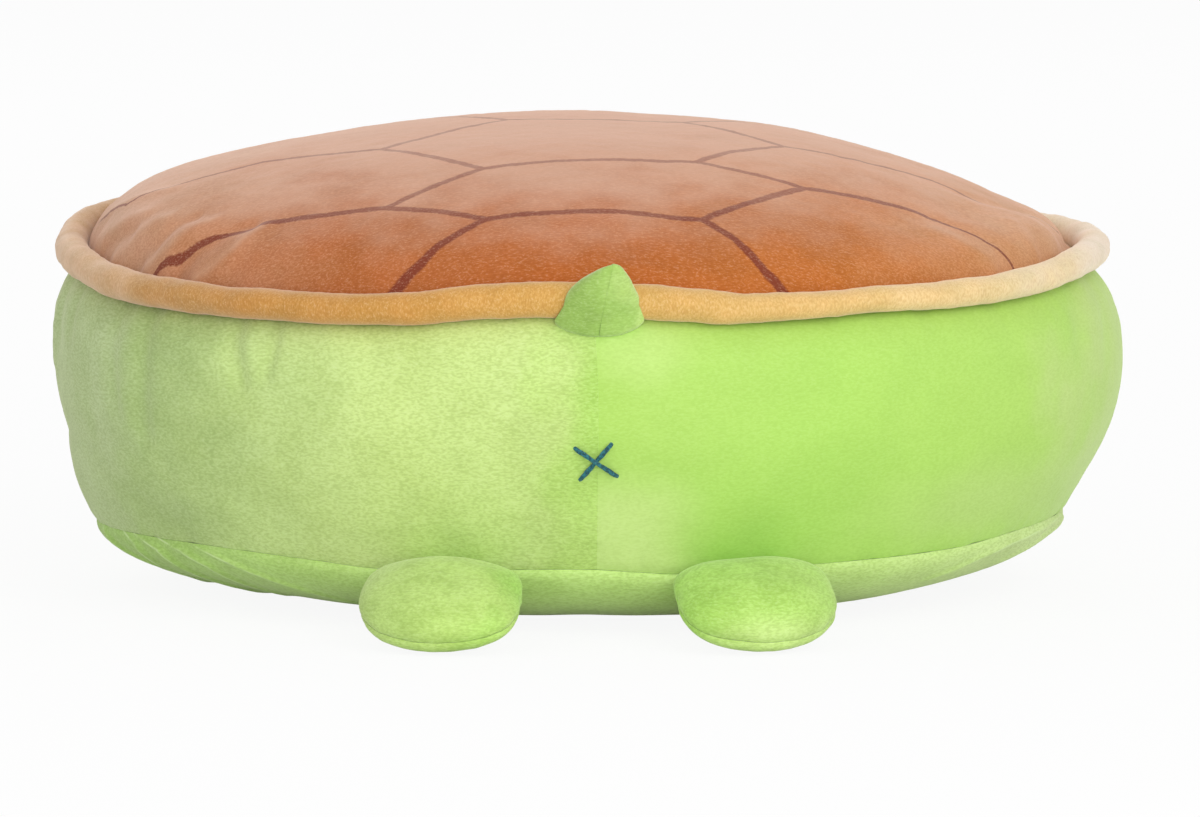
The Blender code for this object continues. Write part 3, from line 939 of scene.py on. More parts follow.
@dataclass
class Base:
    """The base panel, flat where it rests and folded at the sides."""

    form: BodyForm
    folds: tuple[Crease, ...]
    grid: tuple[int, int] = (640, 72)
    flat_share: float = 0.25
    fold_scale: Point = (3.5, 130)  # millimetres for a degree and for the whole way out, in the folds' layout
    unevenness: float = 0.0010

    def place(self, across: float, out: float) -> Vector:
        """Where a point of the panel lies.

        Args:
            across: The share of a turn round the body.
            out: The share of the way out from the middle.

        Returns:
            The point.
        """
        form = self.form
        azimuth = (across - 0.5) * 2 * math.pi
        flat = form.flat_width / 2
        if out < self.flat_share:
            return form.around(azimuth, flat * out / self.flat_share, 0.0)
        share = (out - self.flat_share) / (1 - self.flat_share)
        turn = math.pi / 2 * share
        arc, outwards = math.degrees(azimuth) * self.fold_scale[0], share * self.fold_scale[1]
        swell = sum(fold.lift(arc, outwards) for fold in self.folds)
        swell += self.unevenness * rough(azimuth * 6, share * 2, 1.7)
        swell *= min(1.0, (1 - share) * 8)
        swell += form.low_bulge(azimuth, form.base_seam_height) * share
        swell -= seam_roll((1 - share) * 0.06, 0.005, form.seam_pull(azimuth))
        swell *= min(1.0, share * 3)
        radius = flat + (form.base_reach - flat + swell) * math.sin(turn)
        height = (form.base_seam_height - 0.3 * GAP) * (1 - math.cos(turn)) - 0.35 * swell * math.cos(turn)
        height = max(0.0, height + form.base_dip.at(azimuth) * share)
        fuzz = pile_wave(form.around(azimuth, radius, height)) * min(1.0, share * 4)
        return form.around(azimuth, radius + fuzz, height)

    def build(self, material: Material) -> None:
        """Make the panel of a material."""
        piece = add_cloth("base_cover", self.grid, self.place, self.form.core, CLOTH)
        finish_piece(piece, material, "torso", "base_panel")


@dataclass
class Shell:
    """The printed cover of the shell, lower on the right and folded at its edge."""

    form: BodyForm
    folds: tuple[Crease, ...]
    steps: int = 216
    fade: float = 0.07  # the width over which the rim's sag gives way to the lean, as a share
    right_fade: float = 0.6  # how much of that each metre to the right adds
    right_reach: float = 0.2
    puckers: Point = (0.030, 0.0006)  # how far they reach up from the edge, and how deep they are
    lumps: float = 0.0016
    pile: float = 0.00035
    lean: tuple[Point, ...] = (
        (-0.22, -0.0060), (-0.193, -0.0088), (-0.178, -0.0087), (-0.155, -0.0077), (-0.133, -0.0063),
        (-0.110, -0.0047), (-0.088, -0.0034), (-0.044, -0.0030), (-0.030, -0.0028), (0, -0.0014), (0.045, -0.0013),
        (0.090, -0.0015), (0.120, -0.0019), (0.150, -0.0010), (0.180, 0.0017), (0.197, 0.0030), (0.22, 0.0015),
    )

    def place(self, across: float, along: float) -> Vector:
        """Where a point of the cover lies.

        Args:
            across: The share of the way across the square it is cut from.
            along: The share of the way along it.

        Returns:
            The point.
        """
        form = self.form
        dome = form.crest_height - form.rim_seam_height
        u, v = 2 * across - 1, 2 * along - 1
        x, y = u * math.sqrt(1 - v * v / 2), v * math.sqrt(1 - u * u / 2)
        azimuth = math.atan2(x, y)
        out = math.sin(math.pi / 2 * min(1.0, math.hypot(x, y)))
        rise = dome * math.sqrt(max(0.0, 1 - out**form.shell_power))
        point = form.around(azimuth, form.seam_radius * out, form.crest_height)
        fade_width = self.fade + self.right_fade * min(self.right_reach, max(0.0, -point.x))
        inward = clamped((1 - out) / fade_width)
        fade = (3 - 2 * inward) * inward**2
        swell = sum(fold.lift(point.x * 1000, point.y * 1000) for fold in self.folds) * min(1.0, rise / 0.004)
        reach, depth = self.puckers
        swell += near(rise, reach) * min(1.0, rise / 0.004) * depth * rough(azimuth * 17, 2.2, rise * 25)
        swell += self.lumps * rough(point.x * 14, point.y * 14, 5.5) * min(1.0, rise / 0.02)
        swell += pile_wave(Vector((point.x, point.y, rise)), self.pile) * min(1.0, rise / 0.002)
        flatness = min(1.0, rise / dome)
        radius = form.seam_radius * out + swell * math.sqrt(1 - flatness**2)
        height = form.rim_seam_height + GAP + rise + swell * flatness
        height += through(self.lean, point.x) * fade * min(1.0, rise / 0.02) + form.rim_sag.at(azimuth) * (1 - fade)
        return form.around(azimuth, radius, height)

    def build(self, material: Material) -> None:
        """Make the cover of a material."""
        piece = add_cloth("shell_plates_cover", (self.steps, self.steps), self.place, self.form.core, CLOTH)
        finish_piece(piece, material, "torso", "shell_cover")


@dataclass
class Rim:
    """The stuffed tube over the seam of shell and band."""

    form: BodyForm
    end_tuck: float = 0.0005  # closes the seam where the eye looks along it
    end_power: float = 40  # how close to the left end that stays
    cloth: float = 0.0015
    wander: float = 0.0006
    creases: Point = (0.0007, 0.0003)  # how deep the broad and the fine ones are
    pile: float = 0.00028
    filling_gap: float = 0.0009
    grid: tuple[int, int] = (560, 30)
    filling_grid: tuple[int, int] = (160, 10)
    height_share: RoundCurve = RoundCurve(
        (
            (-180, 1), (-98.8, 1), (-78.8, 0.92), (-60.8, 0.85), (-43.8, 0.82), (-30.8, 0.76), (-20.8, 0.84),
            (-12.8, 1.0), (1.2, 1.06), (9.2, 1.05), (17.2, 0.98), (26.2, 0.92), (41.2, 0.92), (61.2, 0.98),
            (81.2, 1.0), (180, 1),
        )
    )

    def ring(self, inset: float, lively: float, across: float, turn_share: float) -> Vector:
        """A point of the tube.

        Args:
            inset: How far inside the cover's surface.
            lively: How much it is creased, from 0 to 1.
            across: The share of a turn round the body.
            turn_share: The share of a turn round the tube.

        Returns:
            The point.
        """
        form = self.form
        azimuth, turn = (across - 0.5) * 2 * math.pi, turn_share * 2 * math.pi
        radius = form.seam_radius + form.rim_diameter / 2 + GAP
        radius -= self.end_tuck * max(0.0, math.sin(azimuth)) ** self.end_power
        height = form.rim_seam_height + form.rim_rise + form.rim_sag.at(azimuth)
        height += self.wander * rough(azimuth * 6, 9.1, 0)
        around = Vector((math.cos(azimuth), math.sin(azimuth), 0))
        broad, fine = self.creases
        size = form.rim_diameter / 2 - inset
        size += lively * broad * noise.noise(around * 11 + Vector((0, 0, 0.8 * math.sin(turn))))
        size += lively * fine * noise.noise(around * 34 + Vector((0, 0, math.cos(turn))))
        spot = form.around(azimuth, radius + size * math.cos(turn), height + size * math.sin(turn))
        size += lively * pile_wave(spot, self.pile)
        rise = size * self.height_share.at(azimuth) * math.sin(turn)
        return form.around(azimuth, radius + size * math.cos(turn), height + rise)

    def build(self, material: Material, fibre: Material) -> None:
        """Make the tube's cover and filling.

        Args:
            material: The cover's pile.
            fibre: The filling.
        """
        piece = add_cloth("rim_tube_cover", self.grid, partial(self.ring, 0.0, 1), self.form.core, self.cloth)
        finish_piece(piece, material, "torso", "rim_cover")
        inner = partial(self.ring, self.cloth + self.filling_gap, 0)
        piece = add_cloth("rim_tube_filling", self.filling_grid, inner, self.form.core)
        finish_piece(piece, fibre, "torso", "rim_stuffing")


@dataclass
class BodyFilling:
    """The fibre inside the body."""

    form: BodyForm
    inset: float = 0.0075
    top_inset: float = 0.014  # how much lower than the shell it ends
    shoulder_inset: float = 0.009
    lumps: float = 0.0016
    rounding: Point = (2.6, 4)  # how soon the ball is at its full width, below and above its middle
    flat_share: float = 0.62  # of the width that is left at its flat underside
    segments: tuple[int, int] = (96, 48)

    def reach(self, height: float) -> float:
        """Half the width of the body at a height, over the filling's lower top.

        Args:
            height: The height.

        Returns:
            The radius.
        """
        form = self.form
        if height < form.rim_seam_height:
            return form.band_radius(max(height, form.base_seam_height))
        share = (height - form.rim_seam_height) / (form.crest_height - self.top_inset - form.rim_seam_height)
        return form.seam_radius * near(share**2, 1, 1 / form.shell_power) - self.shoulder_inset * min(1.0, 4 * share)

    def build(self, fibre: Material) -> None:
        """Make the filling: a ball, pressed to the body's form a little inside its cloth.

        Args:
            fibre: The fibre.
        """
        form = self.form
        low, high = self.inset, form.crest_height - self.inset - self.top_inset
        below, above = self.rounding
        mesh = bmesh.new()
        bmesh.ops.create_uvsphere(mesh, u_segments=self.segments[0], v_segments=self.segments[1], radius=1)
        for vert in mesh.verts:
            height = low + (high - low) * (1 + vert.co.z) / 2
            side = math.hypot(vert.co.x, vert.co.y)
            radius = (self.reach(height) - self.inset) * min(1.0, side * (below if vert.co.z < 0 else above))
            if vert.co.z < 0:
                rounded = math.sin(math.pi / 2 * clamped(height / form.base_seam_height))
                radius *= self.flat_share + (1 - self.flat_share) * rounded
            lump = self.lumps * noise.noise(vert.co * 6)
            vert.co = form.around(math.atan2(vert.co.x, vert.co.y), max(0.0, radius + lump * side), height)
        bmesh.ops.recalc_face_normals(mesh, faces=mesh.faces)
        finish_piece(add_object("body_filling", mesh), fibre, "torso", "body_stuffing")


# Head and face


@dataclass(eq=False)
class Head:
    """The stuffed head: an upper and a lower panel sewn together, on the front of the body."""

    form: BodyForm
    width: float = 0.176
    reach: float = 0.075
    root: float = 0.025
    seam_height: float = 0.072
    crown_rise: float = 0.050
    chin_drop: float = 0.040
    power: float = 2.4
    seam_edge: float = 0.0015  # the turn that is left between the panels
    inset: float = CLOTH + 0.0022
    grid: tuple[int, int] = (170, 90)
    filling_grid: tuple[int, int] = (64, 40)

    @property
    def core(self) -> Vector:
        """A point in the middle of the head."""
        return Vector((0, -self.form.depth / 2 - self.reach / 2, self.seam_height))

    @property
    def origin(self) -> Vector:
        """The point from which its half sizes are laid off."""
        return Vector((0, self.root - self.form.depth / 2, self.seam_height))

    def on_form(self, direction: Vector, inset: float) -> Vector:
        """Where a point of the unit ball lies on the head.

        Args:
            direction: The point of the ball.
            inset: How far inside the surface.

        Returns:
            The point.
        """
        rise = self.crown_rise if direction.z > 0 else self.chin_drop
        half = Vector((self.width / 2, self.reach + self.root, rise))
        size = sum(abs(part) ** self.power for part in direction) ** (-1 / self.power)
        return Vector([part * size * (reach - inset) for part, reach in zip(direction, half)]) + self.origin

    @cache
    def root_tilt(self, turn: float, inset: float) -> float:
        """How far back the head reaches at a turn, before it meets the body.

        Args:
            turn: The turn round Y.
            inset: How far inside the surface.

        Returns:
            The tilt there.
        """
        clear, sunk = 0.2, math.pi * 0.75
        for _ in range(26):
            middle = (clear + sunk) / 2
            if self.form.outside(self.on_form(on_ball(turn, middle), inset), 2 * GAP + inset):
                clear = middle
            else:
                sunk = middle
        return clear

    def place(self, half: int, across: float, back: float) -> Vector:
        """Where a point of a panel lies.

        Args:
            half: 1 for the upper panel, -1 for the lower one.
            across: The share of the way from one end of their seam to the other.
            back: The share of the way from the nose to the body.

        Returns:
            The point.
        """
        turn = half * (self.seam_edge + eased(across, 0.5) * (math.pi - 2 * self.seam_edge))
        root = self.root_tilt(turn, 0)
        tilt = root * back
        point = self.on_form(on_ball(turn, tilt), 0)
        to_seam = min(abs(turn), math.pi - abs(turn)) * max(0.01, math.sin(tilt)) * 0.08
        to_root = (root - tilt) * 0.09
        press = seam_roll(to_seam, 0.005, 0.0016) + seam_roll(to_root, 0.006, 0.0014)
        soft = 0.0014 * noise.noise(point * 26) + pile_wave(point)
        tucks = near(to_root, 0.02, 1.5) * 0.0009 * rough(turn * 9, 3.3, half)
        return point + (point - self.core).normalized() * (min(1.0, to_root / 0.004) * (soft + tucks) - press)

    def inner(self, across: float, back: float) -> Vector:
        """Where a point of the filling lies.

        Args:
            across: The share of a turn round Y.
            back: The share of the way from the nose to its flat back.

        Returns:
            The point.
        """
        turn = across * 2 * math.pi
        root = self.root_tilt(turn, self.inset)
        if back <= 0.8:
            return self.on_form(on_ball(turn, root * back / 0.8), self.inset)
        middle = Vector((0, -self.form.depth / 2 - 0.004, self.seam_height))
        return self.on_form(on_ball(turn, root), self.inset).lerp(middle, (back - 0.8) / 0.2)

    def build(self, material: Material, fibre: Material) -> None:
        """Make the two panels and the filling.

        Args:
            material: The panels' pile.
            fibre: The filling.
        """
        for name, half in (("upper", 1), ("lower", -1)):
            piece = add_cloth(f"head_{name}_cover", self.grid, partial(self.place, half), self.core, CLOTH)
            finish_piece(piece, material, "torso", f"head_{name}_panel")
        piece = add_cloth("head_filling", self.filling_grid, self.inner, self.core)
        finish_piece(piece, fibre, "torso", "head_stuffing")


@dataclass
class Face:
    """Closed eyes and a mouth, sewn in satin stitch."""

    head: Head
    eye_spacing: float = 0.084
    eye_rise: float = 0.026
    eye_width: float = 0.024
    eye_sag: float = 0.007
    mouth_rise: float = 0.011
    mouth_width: float = 0.034
    mouth_sag: float = 0.006
    strand: float = 0.00045
    stitch_length: float = 0.0034
    stitch_lean: float = 0.35
    stitch_rise: float = 0.0011  # of a stitch's middle over the cloth

    def on_face(self, across: float, rise: float, height: float) -> Vector:
        """A point above the cloth of the face.

        Args:
            across: Its place across the face.
            rise: Its height over the head's seam.
            height: How far above the cloth it is.

        Returns:
            The point.
        """
        head = self.head
        half = Vector((head.width / 2, head.reach + head.root, head.crown_rise))
        left = 1 - abs(across / half.x) ** head.power - abs(rise / half.z) ** head.power
        shares = Vector((across / half.x, -(left ** (1 / head.power)), rise / half.z))
        slope = [math.copysign(abs(part) ** (head.power - 1), part) / reach for part, reach in zip(shares, half)]
        point = Vector([part * reach for part, reach in zip(shares, half)])
        return point + Vector(slope).normalized() * height + head.origin

    def stitches(self, middle: float, rise: float, width: float, sag: float) -> list[list[Vector]]:
        """A hanging arc of short stitches, laid close side by side.

        Args:
            middle: The arc's place across the face.
            rise: Its height over the head's seam.
            width: Its width.
            sag: How far it hangs.

        Returns:
            The points of each stitch.
        """
        count = max(12, round(width * 1.5 / (self.strand * 1.7)))
        found = []
        for step in range(count):
            share = 2 * step / (count - 1) - 1
            along = Vector((width / 2, 2 * sag * share)).normalized()
            slant = Vector((-along.y, along.x)) + along * self.stitch_lean
            taper = 0.35 + 0.65 * math.sqrt(max(0.0, 1 - share**2))
            stitch = []
            for reach in (-1, -0.8, -0.4, 0, 0.4, 0.8, 1):
                offset = slant * reach * self.stitch_length / 2 * taper
                arch = self.strand + self.stitch_rise * taper * (1 - reach**2)
                up = rise - sag * (1 - share**2) + offset.y
                stitch.append(self.on_face(middle + width / 2 * share + offset.x, up, arch))
            found.append(stitch)
        return found

    def build(self, thread: Material) -> None:
        """Sew the face with a thread.

        Args:
            thread: The thread.
        """
        arcs = (
            ("eye_left", self.eye_spacing / 2, self.eye_rise, self.eye_width, self.eye_sag),
            ("eye_right", -self.eye_spacing / 2, self.eye_rise, self.eye_width, self.eye_sag),
            ("mouth", 0.0, self.mouth_rise, self.mouth_width, self.mouth_sag),
        )
        for name, *sizes in arcs:
            piece = add_threads(f"{name}_stitches", self.strand, self.stitches(*sizes))
            finish_piece(piece, thread, "torso", name)


# Feet


@dataclass
class Foot:
    """A flat stuffed foot, hinged in the base seam."""

    side: Side
    end: End
    pivot: Vector
    axis: Vector
    slope: float = 0.0
    length: float = 0.072
    width: float = 0.070
    top_rise: float = 0.018
    sole_drop: float = 0.010
    root_radius: float = 0.003
    turn_in: float = math.radians(8)
    root_thickness_share: float = 0.25
    side_power: float = 4
    tip_power: float = 2.5
    swell_power: float = 3.5
    clearance: float = 0.00065  # of its sole over the floor
    seam_edge: float = 0.003  # the turn that is left between the panels
    seam_press: float = 0.0012
    seam_reach: float = 0.0045
    inset: float = CLOTH + 0.0014
    grid: tuple[int, int] = (84, 84)
    filling_grid: tuple[int, int] = (32, 24)

    @property
    def name(self) -> str:
        """The foot's name."""
        return f"{self.end.name.lower()}_{self.side.name.lower()}_foot"

    @property
    def middle(self) -> Vector:
        """The middle of the foot, before it is turned to its place."""
        return Vector((0, self.length / 2, 0))

    @property
    def standing(self) -> Matrix:
        """The foot's place on its hinge."""
        turn = math.atan2(self.axis.y, self.axis.x)
        return Matrix.Translation(self.pivot) @ Euler((-self.slope, 0, turn)).to_matrix().to_4x4()

    def height(self, share: float, fullest: float) -> float:
        """How far its top or its sole is from its seam, at a share of its length.

        Args:
            share: The share of the length.
            fullest: How far that is where the foot is fullest.

        Returns:
            The distance.
        """
        ends = (1 - abs(2 * share - 1) ** self.swell_power) ** 0.5
        grow = math.sin(math.pi / 2 * min(1, 2 * share))
        return fullest * ends * (self.root_thickness_share + (1 - self.root_thickness_share) * grow)

    def settle(self, seam_height: float) -> None:
        """Slope the foot down until its sole ends just above the floor.

        Args:
            seam_height: The height of its hinge.
        """
        least, most = 0.0, math.pi / 4
        for _ in range(40):
            slope = (least + most) / 2
            lowest = min(
                seam_height
                - (self.length * step / 50 - self.root_radius) * math.sin(slope)
                - self.height(step / 50, self.sole_drop) * math.cos(slope)
                for step in range(51)
            )
            if lowest > self.clearance:
                least = slope
            else:
                most = slope
        self.slope = least

    def on_form(self, direction: Vector, inset: float) -> Vector:
        """Where a point of the unit ball lies: X along the hinge, Y out, Z up.

        Args:
            direction: The point of the ball.
            inset: How far inside the surface.

        Returns:
            The point, before the foot is turned to its place.
        """
        share = clamped((1 + direction.y) / 2)
        power = self.side_power if share < 0.5 else self.tip_power
        ends = max(0, 1 - abs(2 * share - 1) ** power) ** 0.5
        around = max(math.hypot(direction.x, direction.z), MERGE_DISTANCE)
        fullest = self.top_rise if direction.z > 0 else self.sole_drop
        out = inset + (self.length - 2 * inset) * share - self.root_radius
        across = (self.width / 2 - inset) * ends * direction.x / around
        rise = self.height(share, fullest - inset) * direction.z / around
        turn = -self.side.value * self.end.value * self.turn_in
        return Vector((across + out * math.tan(turn), out, rise))

    def place(self, half: int, across: float, out: float) -> Vector:
        """Where a point of a panel lies.

        Args:
            half: 1 for the top, -1 for the sole.
            across: The share of the way from one side's seam to the other's.
            out: The share of the way from the hinge to the tip.

        Returns:
            The point.
        """
        turn = half * (self.seam_edge + eased(across, 0.75) * (math.pi - 2 * self.seam_edge))
        point = self.on_form(on_ball(turn, math.pi * out), 0)
        beside = near(abs(point.z), self.seam_reach)
        seeded = point + Vector((self.side.value * 3.1 + self.end.value * 7.7, 0, 0))
        soft = 0.0011 * noise.noise(seeded * 48) + pile_wave(seeded, 0.00035)
        soft += beside * 0.0007 * noise.noise(seeded * 130)
        open_share = clamped((point.y - 0.002) / 0.008)
        inwards = Vector((point.x, point.y - self.length / 2, 0)).normalized()
        point += (point - self.middle).normalized() * soft * open_share
        point -= inwards * beside**2 * self.seam_press * open_share
        point.z += half * 0.00005
        return self.standing @ point

    def inner(self, across: float, out: float) -> Vector:
        """Where a point of the filling lies, by its share of a turn and its share of the way out."""
        return self.standing @ self.on_form(on_ball(2 * math.pi * across, math.pi * out), self.inset)

    def build(self, material: Material, fibre: Material) -> None:
        """Make the top, the sole and the filling.

        Args:
            material: The panels' pile.
            fibre: The filling.
        """
        name, core = self.name, self.standing @ self.middle
        for panel, half in (("top", 1), ("sole", -1)):
            piece = add_cloth(f"{name}_{panel}_cover", self.grid, partial(self.place, half), core, THIN_CLOTH)
            finish_piece(piece, material, name, f"{name}_{panel}")
        piece = add_cloth(f"{name}_filling", self.filling_grid, self.inner, core)
        finish_piece(piece, fibre, name, f"{name}_stuffing")


# Tail


@dataclass(eq=False)
class Tail:
    """A small pointed tail, sewn below the rim and standing over it."""

    form: BodyForm
    pivot: Vector
    length: float = 0.050
    root: float = 0.012
    width: float = 0.050
    thickness: float = 0.026
    hinge_drop: float = 0.0115
    tilt: float = math.radians(42)
    taper_power: float = 0.6
    root_power: float = 12
    lean: float = -0.0058
    seam_edge: float = 0.001  # the turn that is left between the panels
    seam_reach: float = 0.004
    seam_press: float = 0.0002
    inset: float = CLOTH + 0.0012
    grid: tuple[int, int] = (96, 90)
    filling_grid: tuple[int, int] = (32, 30)

    @property
    def standing(self) -> Matrix:
        """The tail's place on its hinge."""
        return Matrix.Translation(self.pivot) @ Matrix.Rotation(self.tilt, 4, "X")

    def on_form(self, turn: float, share: float, inset: float) -> Vector:
        """Where a point of the tail lies, before it is turned to its place.

        Args:
            turn: The turn round the tail's length.
            share: The share of the way from its root to its tip.
            inset: How far inside the surface.

        Returns:
            The point.
        """
        size = max(0.0, 1 - share) ** self.taper_power * (1 - (1 - share) ** self.root_power) ** 0.5
        across = (self.width / 2 - inset) * size * math.cos(turn) + self.lean * share**2
        rise = (self.thickness / 2 - inset) * size * math.sin(turn)
        along = inset + (self.length - 3 * inset) * share - self.root
        return Vector((across, along, self.hinge_drop + rise))

    @cache
    def root_share(self, turn: float, inset: float) -> float:
        """The share of the length at which the tail comes out of the body.

        Args:
            turn: The turn round the tail's length.
            inset: How far inside the surface.

        Returns:
            The share.
        """
        standing = self.standing
        last = 1.0
        for step in range(100, 0, -1):
            share = step / 100
            if not self.form.outside(standing @ self.on_form(turn, share, inset), 2 * GAP + inset):
                return min(last, 0.9)
            last = share
        return last

    def place(self, half: int, around: float, out: float) -> Vector:
        """Where a point of a panel lies.

        Args:
            half: 1 for the left panel, -1 for the right one.
            around: The share of the way round, from the seam on top to the seam below.
            out: The share of the way from the body to the tip.

        Returns:
            The point.
        """
        turn = math.pi / 2 - half * (self.seam_edge + eased(around, 0.6) * (math.pi - 2 * self.seam_edge))
        root = self.root_share(turn, 0)
        share = root + (1 - root) * out
        point = self.on_form(turn, share, 0)
        middle = Vector((self.lean * share**2, point.y - 0.004, self.hinge_drop))
        beside = near(abs(point.x - middle.x), self.seam_reach)
        soft = 0.0008 * noise.noise(point * 70 + Vector((half, 0, 0))) + pile_wave(point, 0.00035)
        press = seam_roll(out * self.length, 0.005, 0.0018)
        groove = self.seam_press * beside**2 * min(1, 6 * (1 - out))
        point += (point - middle).normalized() * (soft * min(1.0, out * 8) - groove - press)
        point.x += half * 0.00001
        return self.standing @ point

    def inner(self, around: float, out: float) -> Vector:
        """Where a point of the filling lies.

        Args:
            around: The share of a turn round its length.
            out: The share of the way from its flat root to its tip.

        Returns:
            The point.
        """
        turn = 2 * math.pi * around
        root = self.root_share(turn, self.inset)
        if out < 0.2:
            middle = Vector((0, 0.008, self.hinge_drop))
            return self.standing @ middle.lerp(self.on_form(turn, root, self.inset), out / 0.2)
        return self.standing @ self.on_form(turn, root + (1 - root) * (out - 0.2) / 0.8, self.inset)

    def build(self, material: Material, fibre: Material) -> None:
        """Make the two panels and the filling.

        Args:
            material: The panels' pile.
            fibre: The filling.
        """
        core = self.standing @ Vector((0, self.length * 0.35, self.hinge_drop))
        for name, half in (("left", 1), ("right", -1)):
            piece = add_cloth(f"tail_{name}_cover", self.grid, partial(self.place, half), core, THIN_CLOTH)
            finish_piece(piece, material, "tail", f"tail_{name}_panel")
        piece = add_cloth("tail_filling", self.filling_grid, self.inner, core)
        finish_piece(piece, fibre, "tail", "tail_stuffing")


@dataclass
class CrossStitch:
    """Two thick stitches of loose strands on the back of the band."""

    form: BodyForm
    height: float = 0.077
    offset: float = 0.001
    diameter: float = 0.0022
    strand_share: float = 0.21  # a strand's radius over the stitch's diameter
    under_run: float = 0.0140
    under_rise: float = 0.0165
    over_run: float = 0.0190
    over_rise: float = 0.0130
    strands: int = 5
    points: int = 25
    twist: float = 2.6 * math.pi

    def on_band(self, across: float, height: float, lift: float) -> Vector:
        """A point above the back of the band."""
        radius = self.form.band_radius(height) + lift
        return Vector((across, self.form.depth_share * math.sqrt(radius**2 - across**2), height))

    def stroke(self, name: str, run: float, rise: float, hump: float) -> list[list[Vector]]:
        """One stitch of twisted strands.

        Args:
            name: The node it stands for.
            run: How far it goes from side to side, above zero where it rises to the left.
            rise: How far it goes up.
            hump: How far it is lifted in the middle.

        Returns:
            The points of each strand.
        """
        slant = Vector((run, rise)).normalized()
        scatter = random.Random(name)
        found = []
        for start in range(self.strands):
            spread = scatter.uniform(0.9, 1.25)
            strand = []
            for step in range(self.points):
                share = step / (self.points - 1) - 0.5
                twist = 2 * math.pi * start / self.strands + self.twist * share
                loose = self.diameter * 0.30 * spread * (1 - 0.35 * math.cos(2 * math.pi * share) ** 2)
                side = loose * math.cos(twist)
                lift = self.diameter / 2 + GAP + hump * math.exp(-((share / 0.16) ** 2))
                lift += loose * 0.8 * math.sin(twist) - 0.0024 * max(0.0, abs(share) - 0.42) / 0.08
                across = self.offset + run * share - side * slant.y
                strand.append(self.on_band(across, self.height + rise * share + side * slant.x, lift))
            found.append(strand)
        return found

    def build(self, thread: Material) -> None:
        """Sew the cross with a thread.

        Args:
            thread: The thread.
        """
        strokes = (
            ("cross_stitch_under", -self.under_run, self.under_rise, 0.0),
            ("cross_stitch_over", self.over_run, self.over_rise, self.diameter + GAP),
        )
        for name, *sizes in strokes:
            piece = add_threads(f"{name}_strands", self.diameter * self.strand_share, self.stroke(name, *sizes))
            finish_piece(piece, thread, "torso", name)


# Studio


